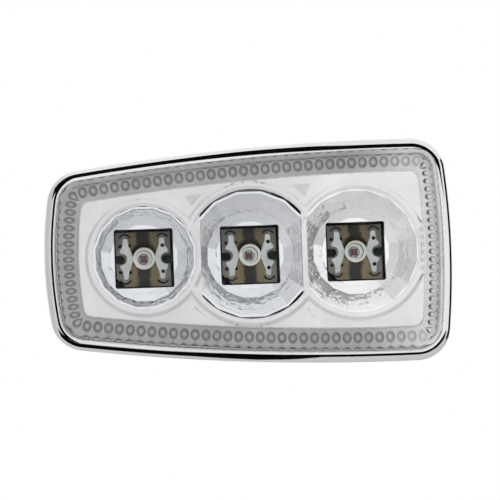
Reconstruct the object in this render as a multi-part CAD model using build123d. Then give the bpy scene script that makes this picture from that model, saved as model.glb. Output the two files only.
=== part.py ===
"""LED side repeater lamp for a car wing.

Drawn lying on its back: x runs along the lamp from the narrow to the wide end,
y across it, z out of the wing with the seal's rear face at zero. stand_up()
turns every piece into the shared frame, where the front faces -Y and z is up.
"""
import os
from math import atan2, cos, degrees, hypot, pi, sin, sqrt

from build123d import *

# Flange outline
LENGTH = 55.0            # overall length of the flange
NARROW_HEIGHT = 23.2     # height at the narrow end, between the ends of the side arcs
WIDE_HEIGHT = 29.8       # height at the wide end
NARROW_BULGE = 1.3       # bow of the narrow end
WIDE_BULGE = 1.1         # bow of the wide end
SIDE_BULGE = 1.15        # bow of the two long sides
CORNER_RADIUS = 4.6      # corner of the flange
INNER_CORNER = 1.2       # smallest corner of any outline inside it

# Seal and flange
SEAL_THICKNESS = 1.5
SEAL_OUTER = 1.0         # seal edges, drawn in from the flange
SEAL_GAP = 1.8           # between the seal and the tub
FLANGE_THICKNESS = 1.5
GROOVE_DEPTH = 0.8       # groove that takes the lens skirt
RIM_WIDTH = 1.5
RIM_RISE = 1.3           # rim crest above the flange
RIM_CREST = 0.15         # flat top between the rim's outer round and inner bevel
RIM_INNER_BEVEL = 0.2
RIM_BANDS = 3            # flat bands that make up the rim's rounded edge

# Lens
LENS_CLEARANCE = 0.1
LENS_SKIRT = 0.6         # wall of the skirt
LENS_RISE = 6.4          # crown above the flange
LENS_WALL = 2.0
LENS_EDGE_ROUND = 1.8
EDGE_BANDS = 3           # flat bands that make up the lens's rounded edge
BAND_WIDTH = 2.7         # beaded band, from the lens edge inwards
WIDE_STRETCH = 0.45      # how much narrower the band is at the wide end
BAND_STEP = 0.6          # how much thicker the lens is at the band than at the window
BEAD_PITCH = 1.45
BEAD_ALONG = 0.62        # half width of a bead along the band
BEAD_ACROSS = 0.65
BEAD_HEIGHT = 0.42
BEAD_SINK = 0.1          # foot of a bead inside the band
BEAD_SIDES = 6

# Bezel plate
PLATE_RISE = 3.0         # plate face above the flange
PLATE_THICKNESS = 1.2
PLATE_CLEARANCE = 0.15
PLATE_SKIRT = 0.5
PLATE_WEB = 0.7          # bars between the holes
HOLE_GAP = 0.3           # dark gap between a bowl's edge and its hole
LIP_WIDTH = 0.76
LIP_HEIGHT = 0.45
LIP_SIDES = 40           # enough to look round

# Reflector bowls
MIDDLE_X = 0.2           # middle bowl, from the flange centre
ROW_CLEARANCE = 0.2      # between the row of bowls and the plate's skirt
BOWL_SIDES = 16
NARROW_BOWL = 6.55       # half width across flats at the front edge
MIDDLE_BOWL = 8.1
WIDE_BOWL = 8.0
BOWL_WAIST = 5.75        # half width where the two rings of facets meet
BOWL_FLOOR = 4.5
BOWL_LAND = 0.15         # straight edge in front of the largest bowl's facets
OUTER_FACET_DEPTH = 1.9  # of the largest bowl, the others are as steep
INNER_FACET_DEPTH = 0.8
BOWL_EDGE = 0.3          # wall thickness at the front edge
BOWL_DROP = 0.1          # bowl edge behind the plate
BOWL_WEB = 0.5           # wall left between two bowls
FLOOR_THICKNESS = 0.6
FLOOR_BRIDGE = 8.0       # width of the strip that joins the floors
WINDOW_CLEARANCE = 0.16
WINDOW_BEVEL = 0.2       # cut corners of the window
LEG_WIDTH = 3.6          # legs that stand on the board, between the LEDs
LEG_DEPTH = 3.0
SNAP_WIDTH = 2.0         # barbed ends that hold the board
SNAP_DEPTH = 1.2
BARB = 0.4
BARB_LENGTH = 1.2
SNAP_FIT = 0.05

# Four-pin LEDs
LED_SIZE = 7.62
LED_THICKNESS = 2.4
LED_SETBACK = 0.2        # LED face behind the bowl floor
LED_STANDOFF = 1.65      # LED back above the board
LED_CHAMFER = 1.2        # cut corner
NOTCH_WIDTH = 1.1
NOTCH_DEPTH = 1.3
DOME_RADIUS = 1.5
DOME_NECK = 0.4
DOME_SIDES = 12
DOME_BANDS = 3           # rings of facets
DOME_TIP = 0.2           # half width of the flat on top
FRAME_THICKNESS = 0.4
FRAME_DEPTH = 0.5        # lead frame under the LED face
FRAME_TIP = 1.6          # nearest edge to the LED centre
FRAME_STRIP = 0.65       # strip width between tip and notch
FRAME_MARGIN = 0.51      # between the ears beside the notch and the LED's side
FRAME_ARM = (0.4, 0.75, 1.25)  # where the arms bend, in notch widths from the middle
FRAME_PAD = 0.4          # half width of the pad over a pin
PIN_PITCH = 5.08
PIN_SIZE = 0.5
PIN_TAIL = 1.2           # pin behind the board
CUP_RADIUS = 0.85
CUP_MOUTH = 0.7
CUP_BASE = 0.4
CUP_DEPTH = 0.2
CUP_NECK = 0.6
CUP_SIDES = 6
CHIP_SIZE = 0.36
CHIP_HEIGHT = 0.2

# Circuit board and what it carries
BOARD_THICKNESS = 1.6
BOARD_CLEARANCE = 1.4    # between the board's edge and the tub
PIN_FIT = 0.05
RESISTOR = (3.2, 1.6, 0.6)
DIODE = (4.3, 2.6, 2.0)
SMALL_PARTS_Y = 4.7
SMALL_PART_BEVEL = 0.15  # share of the height

# Wedge base
WEDGE_WIDTH = 9.2
WEDGE_THICKNESS = 2.4
WEDGE_LENGTH = 6.4
WEDGE_TIP = 0.6
SHOULDER_WIDTH = 10.0
SHOULDER_THICKNESS = 3.6
SHOULDER_HEIGHT = 1.5
CONTACT_X = 2.2
CONTACT_WIDTH = 1.1
CONTACT_THICKNESS = 0.5
CONTACT_SINK = 0.35      # contact let into the wedge face
CONTACT_HEAD = 0.8       # contact end in front of the board

# Housing tub
TUB_INSET = 4.4
TUB_WALL = 1.2
TUB_CORNER = 2.0         # bevelled corners
REAR_SPACE = 7.0         # behind the board
REAR_WALL = 1.4
REAR_BEVEL = 0.8
COLLAR_BORE = 7.0        # radius
COLLAR_WALL = 1.3
COLLAR_LENGTH = 2.6
LUG_SLOT_WIDTH = 3.5
LUG_SLOT_DEPTH = 0.9
LEDGE_DEPTH = 3.2        # ledges under the ends of the board
LEDGE_WIDTH = 7.0

# Wing fixings
SHEET_THICKNESS = 0.9    # wing sheet behind the flange
HOOK_REACH = 1.1
HOOK_THICKNESS = 1.8
HOOK_WIDTH = 8.0
TONGUE_WIDTH = 9.0
TONGUE_THICKNESS = 1.0
TONGUE_LENGTH = 8.0
TONGUE_GAP = 0.7         # free space behind the tongue's tip
TONGUE_REACH = 1.1       # barb past the tub wall, less half the tongue
TONGUE_BARB = 1.2        # barb's point, behind the tip
TONGUE_BEND = 3.0        # straight end of the tongue
TONGUE_TIP = 0.6         # thickness of the tip
TONGUE_FOOT = 0.6        # root in front of the tongue's foot
TONGUE_CREVICE = 0.1     # free space at the root

# Levels along z
FLANGE_TOP = SEAL_THICKNESS + FLANGE_THICKNESS
RIM_TOP = FLANGE_TOP + RIM_RISE
GROOVE_FLOOR = FLANGE_TOP - GROOVE_DEPTH
CROWN = FLANGE_TOP + LENS_RISE
BAND_BACK = CROWN - LENS_WALL - BAND_STEP
PLATE_FRONT = FLANGE_TOP + PLATE_RISE
PLATE_BACK = PLATE_FRONT - PLATE_THICKNESS
BOWL_RIM = PLATE_BACK - BOWL_DROP
WAIST = BOWL_RIM - BOWL_LAND - OUTER_FACET_DEPTH
FLOOR = WAIST - INNER_FACET_DEPTH
FLOOR_BACK = FLOOR - FLOOR_THICKNESS
LED_FACE = FLOOR - LED_SETBACK
LED_BACK = LED_FACE - LED_THICKNESS
BOARD_TOP = LED_BACK - LED_STANDOFF
BOARD_BACK = BOARD_TOP - BOARD_THICKNESS
REAR_INSIDE = BOARD_BACK - REAR_SPACE
REAR = REAR_INSIDE - REAR_WALL

# Insets from the flange outline
RIM_OUTER_ROUND = RIM_WIDTH - RIM_CREST - RIM_INNER_BEVEL
LENS_EDGE = RIM_WIDTH + LENS_CLEARANCE
SKIRT_INSIDE = LENS_EDGE + LENS_SKIRT
BAND_INSIDE = LENS_EDGE + BAND_WIDTH
TUB_INSIDE = TUB_INSET + TUB_WALL
PLATE_EDGE = BAND_INSIDE + PLATE_CLEARANCE

# The row of three LEDs and their bowls fills the plate up to its wide end
PLATE_INSIDE = LENGTH / 2 - PLATE_EDGE + WIDE_STRETCH - PLATE_SKIRT
LED_PITCH = PLATE_INSIDE - ROW_CLEARANCE - BOWL_EDGE - WIDE_BOWL - MIDDLE_X
ROWS = {"narrow": -1, "middle": 0, "wide": 1}
BOWLS = {-1: NARROW_BOWL, 0: MIDDLE_BOWL, 1: WIDE_BOWL}
FACET_RISE = OUTER_FACET_DEPTH / (max(BOWLS.values()) - BOWL_WAIST)
WINDOW = LED_SIZE + 2 * WINDOW_CLEARANCE
WEB_X = tuple(MIDDLE_X + (row + 0.5) * LED_PITCH for row in (-1, 0))


def cell_x(row):
    return MIDDLE_X + row * LED_PITCH


def arc_radius(half_chord, bulge):
    return (half_chord ** 2 + bulge ** 2) / (2 * bulge)


def crossing(c1, r1, c2, r2, near):
    """The crossing of two circles that lies nearest to a point."""
    dx, dy = c2[0] - c1[0], c2[1] - c1[1]
    d = hypot(dx, dy)
    along = (d * d + r1 * r1 - r2 * r2) / (2 * d)
    off = sqrt(max(r1 * r1 - along * along, 0.0))
    x, y = c1[0] + along * dx / d, c1[1] + along * dy / d
    points = [(x - s * off * dy / d, y + s * off * dx / d) for s in (-1, 1)]
    return min(points, key=lambda p: hypot(p[0] - near[0], p[1] - near[1]))


def outline(inset=0.0, stretch=0.0):
    """The flange's rounded trapezoid drawn in by inset, its wide end let out again by stretch."""
    x0, y0 = NARROW_BULGE - LENGTH / 2, NARROW_HEIGHT / 2
    x1, y1 = LENGTH / 2 - WIDE_BULGE, WIDE_HEIGHT / 2
    chord = hypot(x1 - x0, y1 - y0)
    nx, ny = (y0 - y1) / chord, (x1 - x0) / chord
    r_narrow = arc_radius(y0, NARROW_BULGE)
    r_wide = arc_radius(y1, WIDE_BULGE)
    r_side = arc_radius(chord / 2, SIDE_BULGE)
    narrow = (r_narrow - LENGTH / 2, 0.0)
    wide = (LENGTH / 2 - r_wide, 0.0)
    drop = r_side - SIDE_BULGE
    side = ((x0 + x1) / 2 - nx * drop, (y0 + y1) / 2 - ny * drop)
    ax, ay = crossing(narrow, r_narrow - inset, side, r_side - inset, (x0, y0))
    bx, by = crossing(wide, r_wide - inset + stretch, side, r_side - inset, (x1, y1))
    tx, ty = side[0] + nx * (r_side - inset), side[1] + ny * (r_side - inset)
    arcs = [
        ThreePointArc((ax, -ay), (tx, -ty), (bx, -by)),
        ThreePointArc((bx, -by), (LENGTH / 2 - inset + stretch, 0), (bx, by)),
        ThreePointArc((bx, by), (tx, ty), (ax, ay)),
        ThreePointArc((ax, ay), (inset - LENGTH / 2, 0), (ax, -ay)),
    ]
    face = make_face(arcs)
    return fillet(face.vertices(), max(CORNER_RADIUS - inset, INNER_CORNER))


def slab(inset, low, high, stretch=0.0):
    return Pos(0, 0, low) * extrude(outline(inset, stretch), amount=high - low)


def taper(inset, low, high_inset, high):
    """Slab that draws in from one inset to another on its way up."""
    return loft([Pos(0, 0, low) * outline(inset), Pos(0, 0, high) * outline(high_inset)], ruled=True)


def rounded_slab(inset, low, high, radius, bands):
    """Slab whose front edge is rounded in flat bands."""
    steps = [pi / 2 * i / bands for i in range(bands + 1)]
    rings = [(inset + radius * (1 - cos(a)), high - radius * (1 - sin(a))) for a in steps]
    body = slab(inset, low, high - radius)
    for (inset0, z0), (inset1, z1) in zip(rings, rings[1:]):
        body += taper(inset0, z0, inset1, z1)
    return body


def tub_shape(inset):
    """Straight-sided trapezoid with bevelled corners, behind the flange."""
    x = LENGTH / 2 - inset
    lean = (WIDE_HEIGHT - NARROW_HEIGHT) / 2 / (LENGTH - NARROW_BULGE - WIDE_BULGE)
    middle = (WIDE_HEIGHT + NARROW_HEIGHT) / 4 + SIDE_BULGE / 4 - inset
    y0, y1 = middle - lean * x, middle + lean * x
    face = make_face(Polyline((-x, -y0), (x, -y1), (x, y1), (-x, y0), close=True))
    return chamfer(face.vertices(), TUB_CORNER)


def tub_slab(inset, low, high):
    return Pos(0, 0, low) * extrude(tub_shape(inset), amount=high - low)


def block(x0, x1, y0, y1, z0, z1):
    return Pos((x0 + x1) / 2, (y0 + y1) / 2, (z0 + z1) / 2) * Box(x1 - x0, y1 - y0, z1 - z0)


def rod(x, y, radius, low, high):
    return Pos(x, y, (low + high) / 2) * Cylinder(radius, high - low)


def polygon(sides, half):
    """Many-sided shape given by its half width across flats, with a flat on top."""
    return RegularPolygon(half, sides, major_radius=False, rotation=180 / sides)


def facet_ring(sides, low_half, low, high_half, high):
    """Many-sided solid, given by its half widths across flats at two levels."""
    wide, narrow = max(low_half, high_half), min(low_half, high_half)
    angle = degrees(atan2(wide - narrow, high - low))
    ring = extrude(polygon(sides, wide), amount=high - low, taper=angle)
    if low_half > high_half:
        return Pos(0, 0, low) * ring
    return Pos(0, 0, high) * Rot(180, 0, 0) * ring


def make_seal():
    return slab(SEAL_OUTER, 0, SEAL_THICKNESS) - tub_slab(TUB_INSET - SEAL_GAP, 0, SEAL_THICKNESS)


def make_rim():
    """Flange with its raised, rounded rim and the groove for the lens."""
    rim = rounded_slab(0, SEAL_THICKNESS, RIM_TOP, RIM_OUTER_ROUND, RIM_BANDS)
    rim -= slab(RIM_WIDTH, GROOVE_FLOOR, RIM_TOP)
    crest = rim.faces().sort_by(Axis.Z)[-1]
    rim = chamfer(crest.inner_wires()[0].edges(), RIM_INNER_BEVEL)
    return rim + slab(SKIRT_INSIDE + LENS_CLEARANCE, GROOVE_FLOOR, FLANGE_TOP)


def make_hook():
    """Fixed hook on the narrow end that slips behind the wing sheet."""
    wall = TUB_INSET - LENGTH / 2
    front = -SHEET_THICKNESS
    profile = Plane.XZ * make_face(Polyline(
        (wall + TUB_WALL / 2, front), (wall - HOOK_REACH, front),
        (wall - HOOK_REACH, front - HOOK_THICKNESS / 2), (wall, front - HOOK_THICKNESS),
        (wall + TUB_WALL / 2, front - HOOK_THICKNESS), close=True))
    return extrude(profile, amount=HOOK_WIDTH / 2, both=True)


def make_tongue():
    """Spring tongue on the wide end, rooted at the rear and free at the sheet."""
    wall = LENGTH / 2 - TUB_INSET
    tip = -SHEET_THICKNESS
    root = tip - TONGUE_LENGTH
    inner = wall + TONGUE_GAP
    bend = tip - TONGUE_BEND
    profile = Plane.XZ * make_face(Polyline(
        (wall - TUB_WALL / 2, root - TONGUE_THICKNESS), (wall + TONGUE_THICKNESS, root - TONGUE_THICKNESS),
        (inner + TONGUE_THICKNESS, bend), (wall + TONGUE_REACH + TONGUE_THICKNESS / 2, tip - TONGUE_BARB),
        (inner + TONGUE_TIP, tip), (inner, tip), (inner, bend),
        (wall + TONGUE_CREVICE, root + TONGUE_FOOT), (wall - TUB_WALL / 2, root + TONGUE_FOOT), close=True))
    return extrude(profile, amount=TONGUE_WIDTH / 2, both=True)


def make_ledge(side):
    """Ledge on an end wall, under the end of the board."""
    wall = side * (LENGTH / 2 - TUB_INSIDE)
    x0, x1 = sorted((wall + side * TUB_WALL / 2, wall - side * LEDGE_DEPTH))
    return block(x0, x1, -LEDGE_WIDTH / 2, LEDGE_WIDTH / 2, REAR_INSIDE - REAR_WALL / 2, BOARD_BACK)


def make_housing():
    """Rim and flange, tub, rear wall, collar, ledges and wing fixings in one moulding."""
    tub = tub_slab(TUB_INSET, REAR, SEAL_THICKNESS)
    tub = chamfer(tub.faces().sort_by(Axis.Z)[0].edges(), REAR_BEVEL)
    collar = rod(MIDDLE_X, 0, COLLAR_BORE + COLLAR_WALL, REAR - COLLAR_LENGTH, REAR_INSIDE)
    housing = make_rim() + tub + collar + make_hook() + make_tongue()
    housing -= tub_slab(TUB_INSIDE, REAR_INSIDE, FLANGE_TOP)
    housing -= rod(MIDDLE_X, 0, COLLAR_BORE, REAR - COLLAR_LENGTH, REAR_INSIDE)
    reach = COLLAR_BORE + LUG_SLOT_DEPTH
    housing -= block(MIDDLE_X - LUG_SLOT_WIDTH / 2, MIDDLE_X + LUG_SLOT_WIDTH / 2, -reach, reach,
                     REAR - COLLAR_LENGTH, REAR_INSIDE)
    return housing + [make_ledge(-1), make_ledge(1)]


def make_bead():
    """Pointed bead whose foot is sunk into the band."""
    share = (BEAD_HEIGHT + BEAD_SINK) / BEAD_HEIGHT
    angles = [2 * pi * i / BEAD_SIDES for i in range(BEAD_SIDES)]
    foot = [Vector(BEAD_ALONG * share * cos(a), BEAD_ACROSS * share * sin(a), -BEAD_SINK) for a in angles]
    tip = Vector(0, 0, BEAD_HEIGHT)
    faces = [Face(Wire.make_polygon([a, b, tip])) for a, b in zip(foot, foot[1:] + foot[:1])]
    return Solid(Shell(faces + [Face(Wire.make_polygon(foot))]))


def make_beads():
    """Six-sided beads on the back of the lens's border band, pointing into the lamp."""
    path = outline((SKIRT_INSIDE + BAND_INSIDE) / 2, WIDE_STRETCH / 2).face().outer_wire()
    count = round(path.length / BEAD_PITCH)
    bead = make_bead()
    beads = []
    for i in range(count):
        point = path.position_at(i / count)
        seat = Vector(point.X, point.Y, BAND_BACK)
        beads.append(Plane(seat, x_dir=path.tangent_at(i / count), z_dir=(0, 0, -1)) * bead)
    return beads


def make_lens():
    body = rounded_slab(LENS_EDGE, GROOVE_FLOOR, CROWN, LENS_EDGE_ROUND, EDGE_BANDS)
    body -= slab(SKIRT_INSIDE, GROOVE_FLOOR, BAND_BACK)
    body -= slab(BAND_INSIDE, BAND_BACK, CROWN - LENS_WALL, WIDE_STRETCH)
    return body + make_beads()


def web_limits(row, web):
    """Where a bowl stops on either side, with bars of the given width between bowls."""
    x = cell_x(row)
    left = WEB_X[row] + web / 2 if row > -1 else x - LENGTH
    right = WEB_X[row + 1] - web / 2 if row < 1 else x + LENGTH
    return left, right


def make_plate():
    """Front plate on a skirt, with a raised lip round each of its three holes."""
    plate = slab(PLATE_EDGE, FLANGE_TOP, PLATE_FRONT, WIDE_STRETCH)
    plate -= slab(PLATE_EDGE + PLATE_SKIRT, FLANGE_TOP, PLATE_BACK, WIDE_STRETCH)
    crest = PLATE_FRONT + LIP_HEIGHT
    limit = slab(PLATE_EDGE, PLATE_FRONT, crest, WIDE_STRETCH)
    holes = []
    for row, half_width in BOWLS.items():
        x = cell_x(row)
        radius = half_width + BOWL_EDGE + HOLE_GAP
        lip = facet_ring(LIP_SIDES, radius + LIP_WIDTH, PLATE_FRONT, radius, crest)
        plate += (Pos(x, 0, 0) * lip) & limit
        left, right = web_limits(row, PLATE_WEB)
        hole = Pos(x, 0, PLATE_BACK) * extrude(polygon(LIP_SIDES, radius), crest - PLATE_BACK)
        holes.append(hole & block(left, right, -LENGTH, LENGTH, PLATE_BACK, crest))
    return plate - holes


def bowl_shape(half_width, drop):
    """Two rings of facets, set back by drop, and a straight edge up to the rim."""
    waist = WAIST - drop
    top = waist + (half_width - BOWL_WAIST) * FACET_RISE
    shape = facet_ring(BOWL_SIDES, BOWL_FLOOR, FLOOR - drop, BOWL_WAIST, waist)
    shape += facet_ring(BOWL_SIDES, BOWL_WAIST, waist, half_width, top)
    return shape + Pos(0, 0, top) * extrude(polygon(BOWL_SIDES, half_width), BOWL_RIM - top)


def make_reflector():
    """Tray with three bowls; each LED looks through a window that also cuts the corners of the facets."""
    tray = block(cell_x(-1), cell_x(1), -FLOOR_BRIDGE / 2, FLOOR_BRIDGE / 2, FLOOR_BACK, FLOOR)
    square = Rectangle(WINDOW, WINDOW)
    window = extrude(chamfer(square.vertices(), WINDOW_BEVEL), WAIST - FLOOR_BACK)
    hollows = []
    for row, half_width in BOWLS.items():
        x = cell_x(row)
        tray += Pos(x, 0, 0) * bowl_shape(half_width + BOWL_EDGE, FLOOR_THICKNESS)
        left, right = web_limits(row, BOWL_WEB)
        hollow = Pos(x, 0, 0) * bowl_shape(half_width, 0)
        hollows.append(hollow & block(left, right, -LENGTH, LENGTH, FLOOR, BOWL_RIM))
        hollows.append(Pos(x, 0, FLOOR_BACK) * window)
    tray -= hollows
    return tray + [make_leg(x) for x in WEB_X]


def make_leg(x):
    """Leg between two bowls that stands on the board and snaps in behind it."""
    leg = block(x - LEG_WIDTH / 2, x + LEG_WIDTH / 2, -LEG_DEPTH / 2, LEG_DEPTH / 2, BOARD_TOP, FLOOR_BACK)
    seat = BOARD_BACK - SNAP_FIT
    half = SNAP_DEPTH / 2
    barb = Plane.YZ * make_face(Polyline(
        (-half, BOARD_TOP), (-half, seat), (-half - BARB, seat), (-half, seat - BARB_LENGTH),
        (half, seat - BARB_LENGTH), (half + BARB, seat), (half, seat), (half, BOARD_TOP), close=True))
    return leg + Pos(x, 0, 0) * extrude(barb, amount=SNAP_WIDTH / 2, both=True)


def frame_strip(side):
    """One half of an LED's lead frame from the front: it bends round the notch and ends in two pads."""
    pin, bend = PIN_PITCH / 2, FRAME_TIP + FRAME_STRIP
    ear = LED_SIZE / 2 - FRAME_MARGIN
    flat, low, high = (NOTCH_WIDTH * share for share in FRAME_ARM)
    edge = [(FRAME_TIP, flat), (pin - FRAME_PAD, high), (pin - FRAME_PAD, pin + FRAME_PAD),
            (pin + FRAME_PAD, pin + FRAME_PAD), (pin + FRAME_PAD, high + FRAME_PAD / 2), (ear, high),
            (ear, low), (pin + FRAME_PAD / 2, low), (bend, flat)]
    points = edge + [(x, -y) for x, y in reversed(edge)]
    return make_face(Polyline([(side * x, y) for x, y in points], close=True))


def make_frame(side, cup):
    """Lead frame half with two pins, in the LED's own frame, its face at z zero."""
    low = -FRAME_DEPTH - FRAME_THICKNESS
    shape = frame_strip(side)
    if cup:
        neck = FRAME_TIP + FRAME_STRIP / 2
        shape += Pos(side * neck / 2, 0) * Rectangle(neck, CUP_NECK)
        shape += polygon(CUP_SIDES, CUP_RADIUS)
    frame = Pos(0, 0, low) * extrude(shape, FRAME_THICKNESS)
    if cup:
        frame -= facet_ring(CUP_SIDES, CUP_BASE, -FRAME_DEPTH - CUP_DEPTH, CUP_MOUTH, -FRAME_DEPTH)
    pin, half = PIN_PITCH / 2, PIN_SIZE / 2
    tail = BOARD_BACK - PIN_TAIL - LED_FACE
    for y in (-pin, pin):
        frame += block(side * pin - half, side * pin + half, y - half, y + half, tail, low)
    return frame


def make_chip():
    foot = -FRAME_DEPTH - CUP_DEPTH
    return Pos(0, 0, foot + CHIP_HEIGHT / 2) * Box(CHIP_SIZE, CHIP_SIZE, CHIP_HEIGHT)


def make_dome():
    """Many-sided dome on a short neck."""
    dome = extrude(polygon(DOME_SIDES, DOME_RADIUS), DOME_NECK)
    steps = [pi / 2 * i / DOME_BANDS for i in range(DOME_BANDS)]
    rings = [(DOME_RADIUS * cos(a), DOME_NECK + DOME_RADIUS * sin(a)) for a in steps]
    rings.append((DOME_TIP, DOME_NECK + DOME_RADIUS))
    for (r0, z0), (r1, z1) in zip(rings, rings[1:]):
        dome += facet_ring(DOME_SIDES, r0, z0, r1, z1)
    return dome


def make_led_body(inside):
    """Clear square body with a cut corner, two side notches and a dome, cast round what it holds."""
    half, end = LED_SIZE / 2, LED_SIZE / 2 - NOTCH_DEPTH
    shape = Rectangle(LED_SIZE, LED_SIZE)
    shape = chamfer(shape.vertices().group_by(Axis.X)[0].sort_by(Axis.Y)[0], LED_CHAMFER)
    for side in (-1, 1):
        notch = Polyline((side * half, -NOTCH_WIDTH / 2), (side * (end + NOTCH_WIDTH / 4), -NOTCH_WIDTH / 2),
                         (side * end, -NOTCH_WIDTH / 4), (side * end, NOTCH_WIDTH / 4),
                         (side * (end + NOTCH_WIDTH / 4), NOTCH_WIDTH / 2), (side * half, NOTCH_WIDTH / 2),
                         close=True)
        shape -= make_face(notch)
    body = Pos(0, 0, -LED_THICKNESS) * extrude(shape, LED_THICKNESS)
    return body + make_dome() - inside


def make_leds():
    cathode, anode, chip = make_frame(-1, True), make_frame(1, False), make_chip()
    body = make_led_body([cathode, anode, chip])
    parts = {}
    for name, row in ROWS.items():
        place = Pos(cell_x(row), 0, LED_FACE)
        parts[f"led_{name}_body"] = place * body
        parts[f"led_{name}_cathode"] = place * cathode
        parts[f"led_{name}_anode"] = place * anode
        parts[f"led_{name}_chip"] = place * chip
    return parts


def contact_box(side, grow=0.0):
    """Space of one wedge contact: x0, x1, y0, y1, widened by grow."""
    x = MIDDLE_X + side * CONTACT_X
    inner = side * (WEDGE_THICKNESS / 2 - CONTACT_SINK)
    outer = inner + side * CONTACT_THICKNESS
    half = CONTACT_WIDTH / 2 + grow
    return x - half, x + half, min(inner, outer) - grow, max(inner, outer) + grow


def make_board():
    """Board with holes that the LED pins, snap legs and wedge contacts fill."""
    board = tub_slab(TUB_INSIDE + BOARD_CLEARANCE, BOARD_BACK, BOARD_TOP)
    pin, half = PIN_PITCH / 2, PIN_SIZE / 2 + PIN_FIT
    cuts = []
    for row in BOWLS:
        for x in (cell_x(row) - pin, cell_x(row) + pin):
            for y in (-pin, pin):
                cuts.append(block(x - half, x + half, y - half, y + half, BOARD_BACK, BOARD_TOP))
    wide, deep = SNAP_WIDTH / 2 + SNAP_FIT, SNAP_DEPTH / 2 + SNAP_FIT
    cuts += [block(x - wide, x + wide, -deep, deep, BOARD_BACK, BOARD_TOP) for x in WEB_X]
    cuts += [block(*contact_box(side, PIN_FIT), BOARD_BACK, BOARD_TOP) for side in (-1, 1)]
    return board - cuts


def make_wedge():
    """Flat wedge that the bulb holder grips, with a shoulder against the board."""
    blade = block(MIDDLE_X - WEDGE_WIDTH / 2, MIDDLE_X + WEDGE_WIDTH / 2, -WEDGE_THICKNESS / 2,
                  WEDGE_THICKNESS / 2, BOARD_BACK - WEDGE_LENGTH, BOARD_BACK)
    blade = chamfer(blade.faces().sort_by(Axis.Z)[0].edges(), WEDGE_TIP)
    shoulder = block(MIDDLE_X - SHOULDER_WIDTH / 2, MIDDLE_X + SHOULDER_WIDTH / 2, -SHOULDER_THICKNESS / 2,
                     SHOULDER_THICKNESS / 2, BOARD_BACK - SHOULDER_HEIGHT, BOARD_BACK)
    wedge = blade + shoulder
    for side in (-1, 1):
        wedge -= block(*contact_box(side), BOARD_BACK - WEDGE_LENGTH, BOARD_BACK)
    return wedge


def make_contact(side):
    return block(*contact_box(side), BOARD_BACK - WEDGE_LENGTH + 2 * WEDGE_TIP, BOARD_TOP + CONTACT_HEAD)


def small_part(x, y, size):
    """A chip part on the back of the board."""
    body = Pos(x, y, BOARD_BACK - size[2] / 2) * Box(*size)
    return chamfer(body.faces().sort_by(Axis.Z)[0].edges(), size[2] * SMALL_PART_BEVEL)


def stand_up(shape):
    """From lying on its back to standing in the shared frame."""
    return Rot(90, 0, 0) * shape


def make_parts():
    parts = {
        "lens": make_lens(),
        "housing": make_housing(),
        "bezel_plate": make_plate(),
        "reflector": make_reflector(),
        "wing_seal": make_seal(),
        "circuit_board": make_board(),
        "wedge_base": make_wedge(),
        "wedge_contact_upper": make_contact(1),
        "wedge_contact_lower": make_contact(-1),
        "resistor_upper": small_part(WEB_X[0], SMALL_PARTS_Y, RESISTOR),
        "resistor_lower": small_part(WEB_X[0], -SMALL_PARTS_Y, RESISTOR),
        "diode": small_part(WEB_X[1], SMALL_PARTS_Y, DIODE),
    }
    parts.update(make_leds())
    return parts


os.makedirs("parts", exist_ok=True)
for node, shape in make_parts().items():
    export_step(stand_up(shape), f"parts/{node}.step")
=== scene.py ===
"""Side repeater lamp: clear beaded lens over three faceted bowls with square LEDs, in a bright rim.

The lamp stands in its shared frame: x runs from the narrow to the wide end, z is up and the
lens faces -y. A level is a height in front of the seal's rear face, so y is minus the level.
An inset is a distance in from the flange's border, and a stretch moves the wide end back out.
"""
from itertools import accumulate
from math import atan2, cos, hypot, pi, radians, sin, sqrt

import bmesh
import bpy
from bpy.props import FloatProperty, FloatVectorProperty, IntProperty, PointerProperty
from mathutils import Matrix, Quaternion, Vector, kdtree


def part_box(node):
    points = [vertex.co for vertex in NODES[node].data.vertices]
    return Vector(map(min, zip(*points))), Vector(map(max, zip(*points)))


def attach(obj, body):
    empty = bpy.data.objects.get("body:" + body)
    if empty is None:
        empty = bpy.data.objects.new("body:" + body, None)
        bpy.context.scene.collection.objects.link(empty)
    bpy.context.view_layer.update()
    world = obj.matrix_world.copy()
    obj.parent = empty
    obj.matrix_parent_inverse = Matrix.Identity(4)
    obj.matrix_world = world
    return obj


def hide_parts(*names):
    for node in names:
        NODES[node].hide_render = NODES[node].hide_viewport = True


bl_info = {
    "name": "Side repeater lamp",
    "version": (1, 0, 0),
    "blender": (4, 5, 0),
    "location": "View3D > Sidebar > Lamp",
    "description": "Dresses a side repeater lamp with its lens, plating, LEDs and studio",
    "category": "Object",
}

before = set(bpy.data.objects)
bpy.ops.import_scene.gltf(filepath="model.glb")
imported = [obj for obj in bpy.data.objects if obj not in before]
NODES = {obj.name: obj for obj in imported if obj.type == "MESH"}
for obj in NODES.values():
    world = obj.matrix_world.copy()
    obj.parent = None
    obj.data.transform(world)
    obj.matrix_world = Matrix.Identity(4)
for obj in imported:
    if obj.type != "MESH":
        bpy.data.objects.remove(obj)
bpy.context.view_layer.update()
BODY = "root"
MM = 0.001
HOUSING_LOW, HOUSING_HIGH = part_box("housing")
LENS_LOW, LENS_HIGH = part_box("lens")
PLATE_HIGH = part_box("bezel_plate")[1]
LED_NAMES = ("narrow", "middle", "wide")

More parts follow.
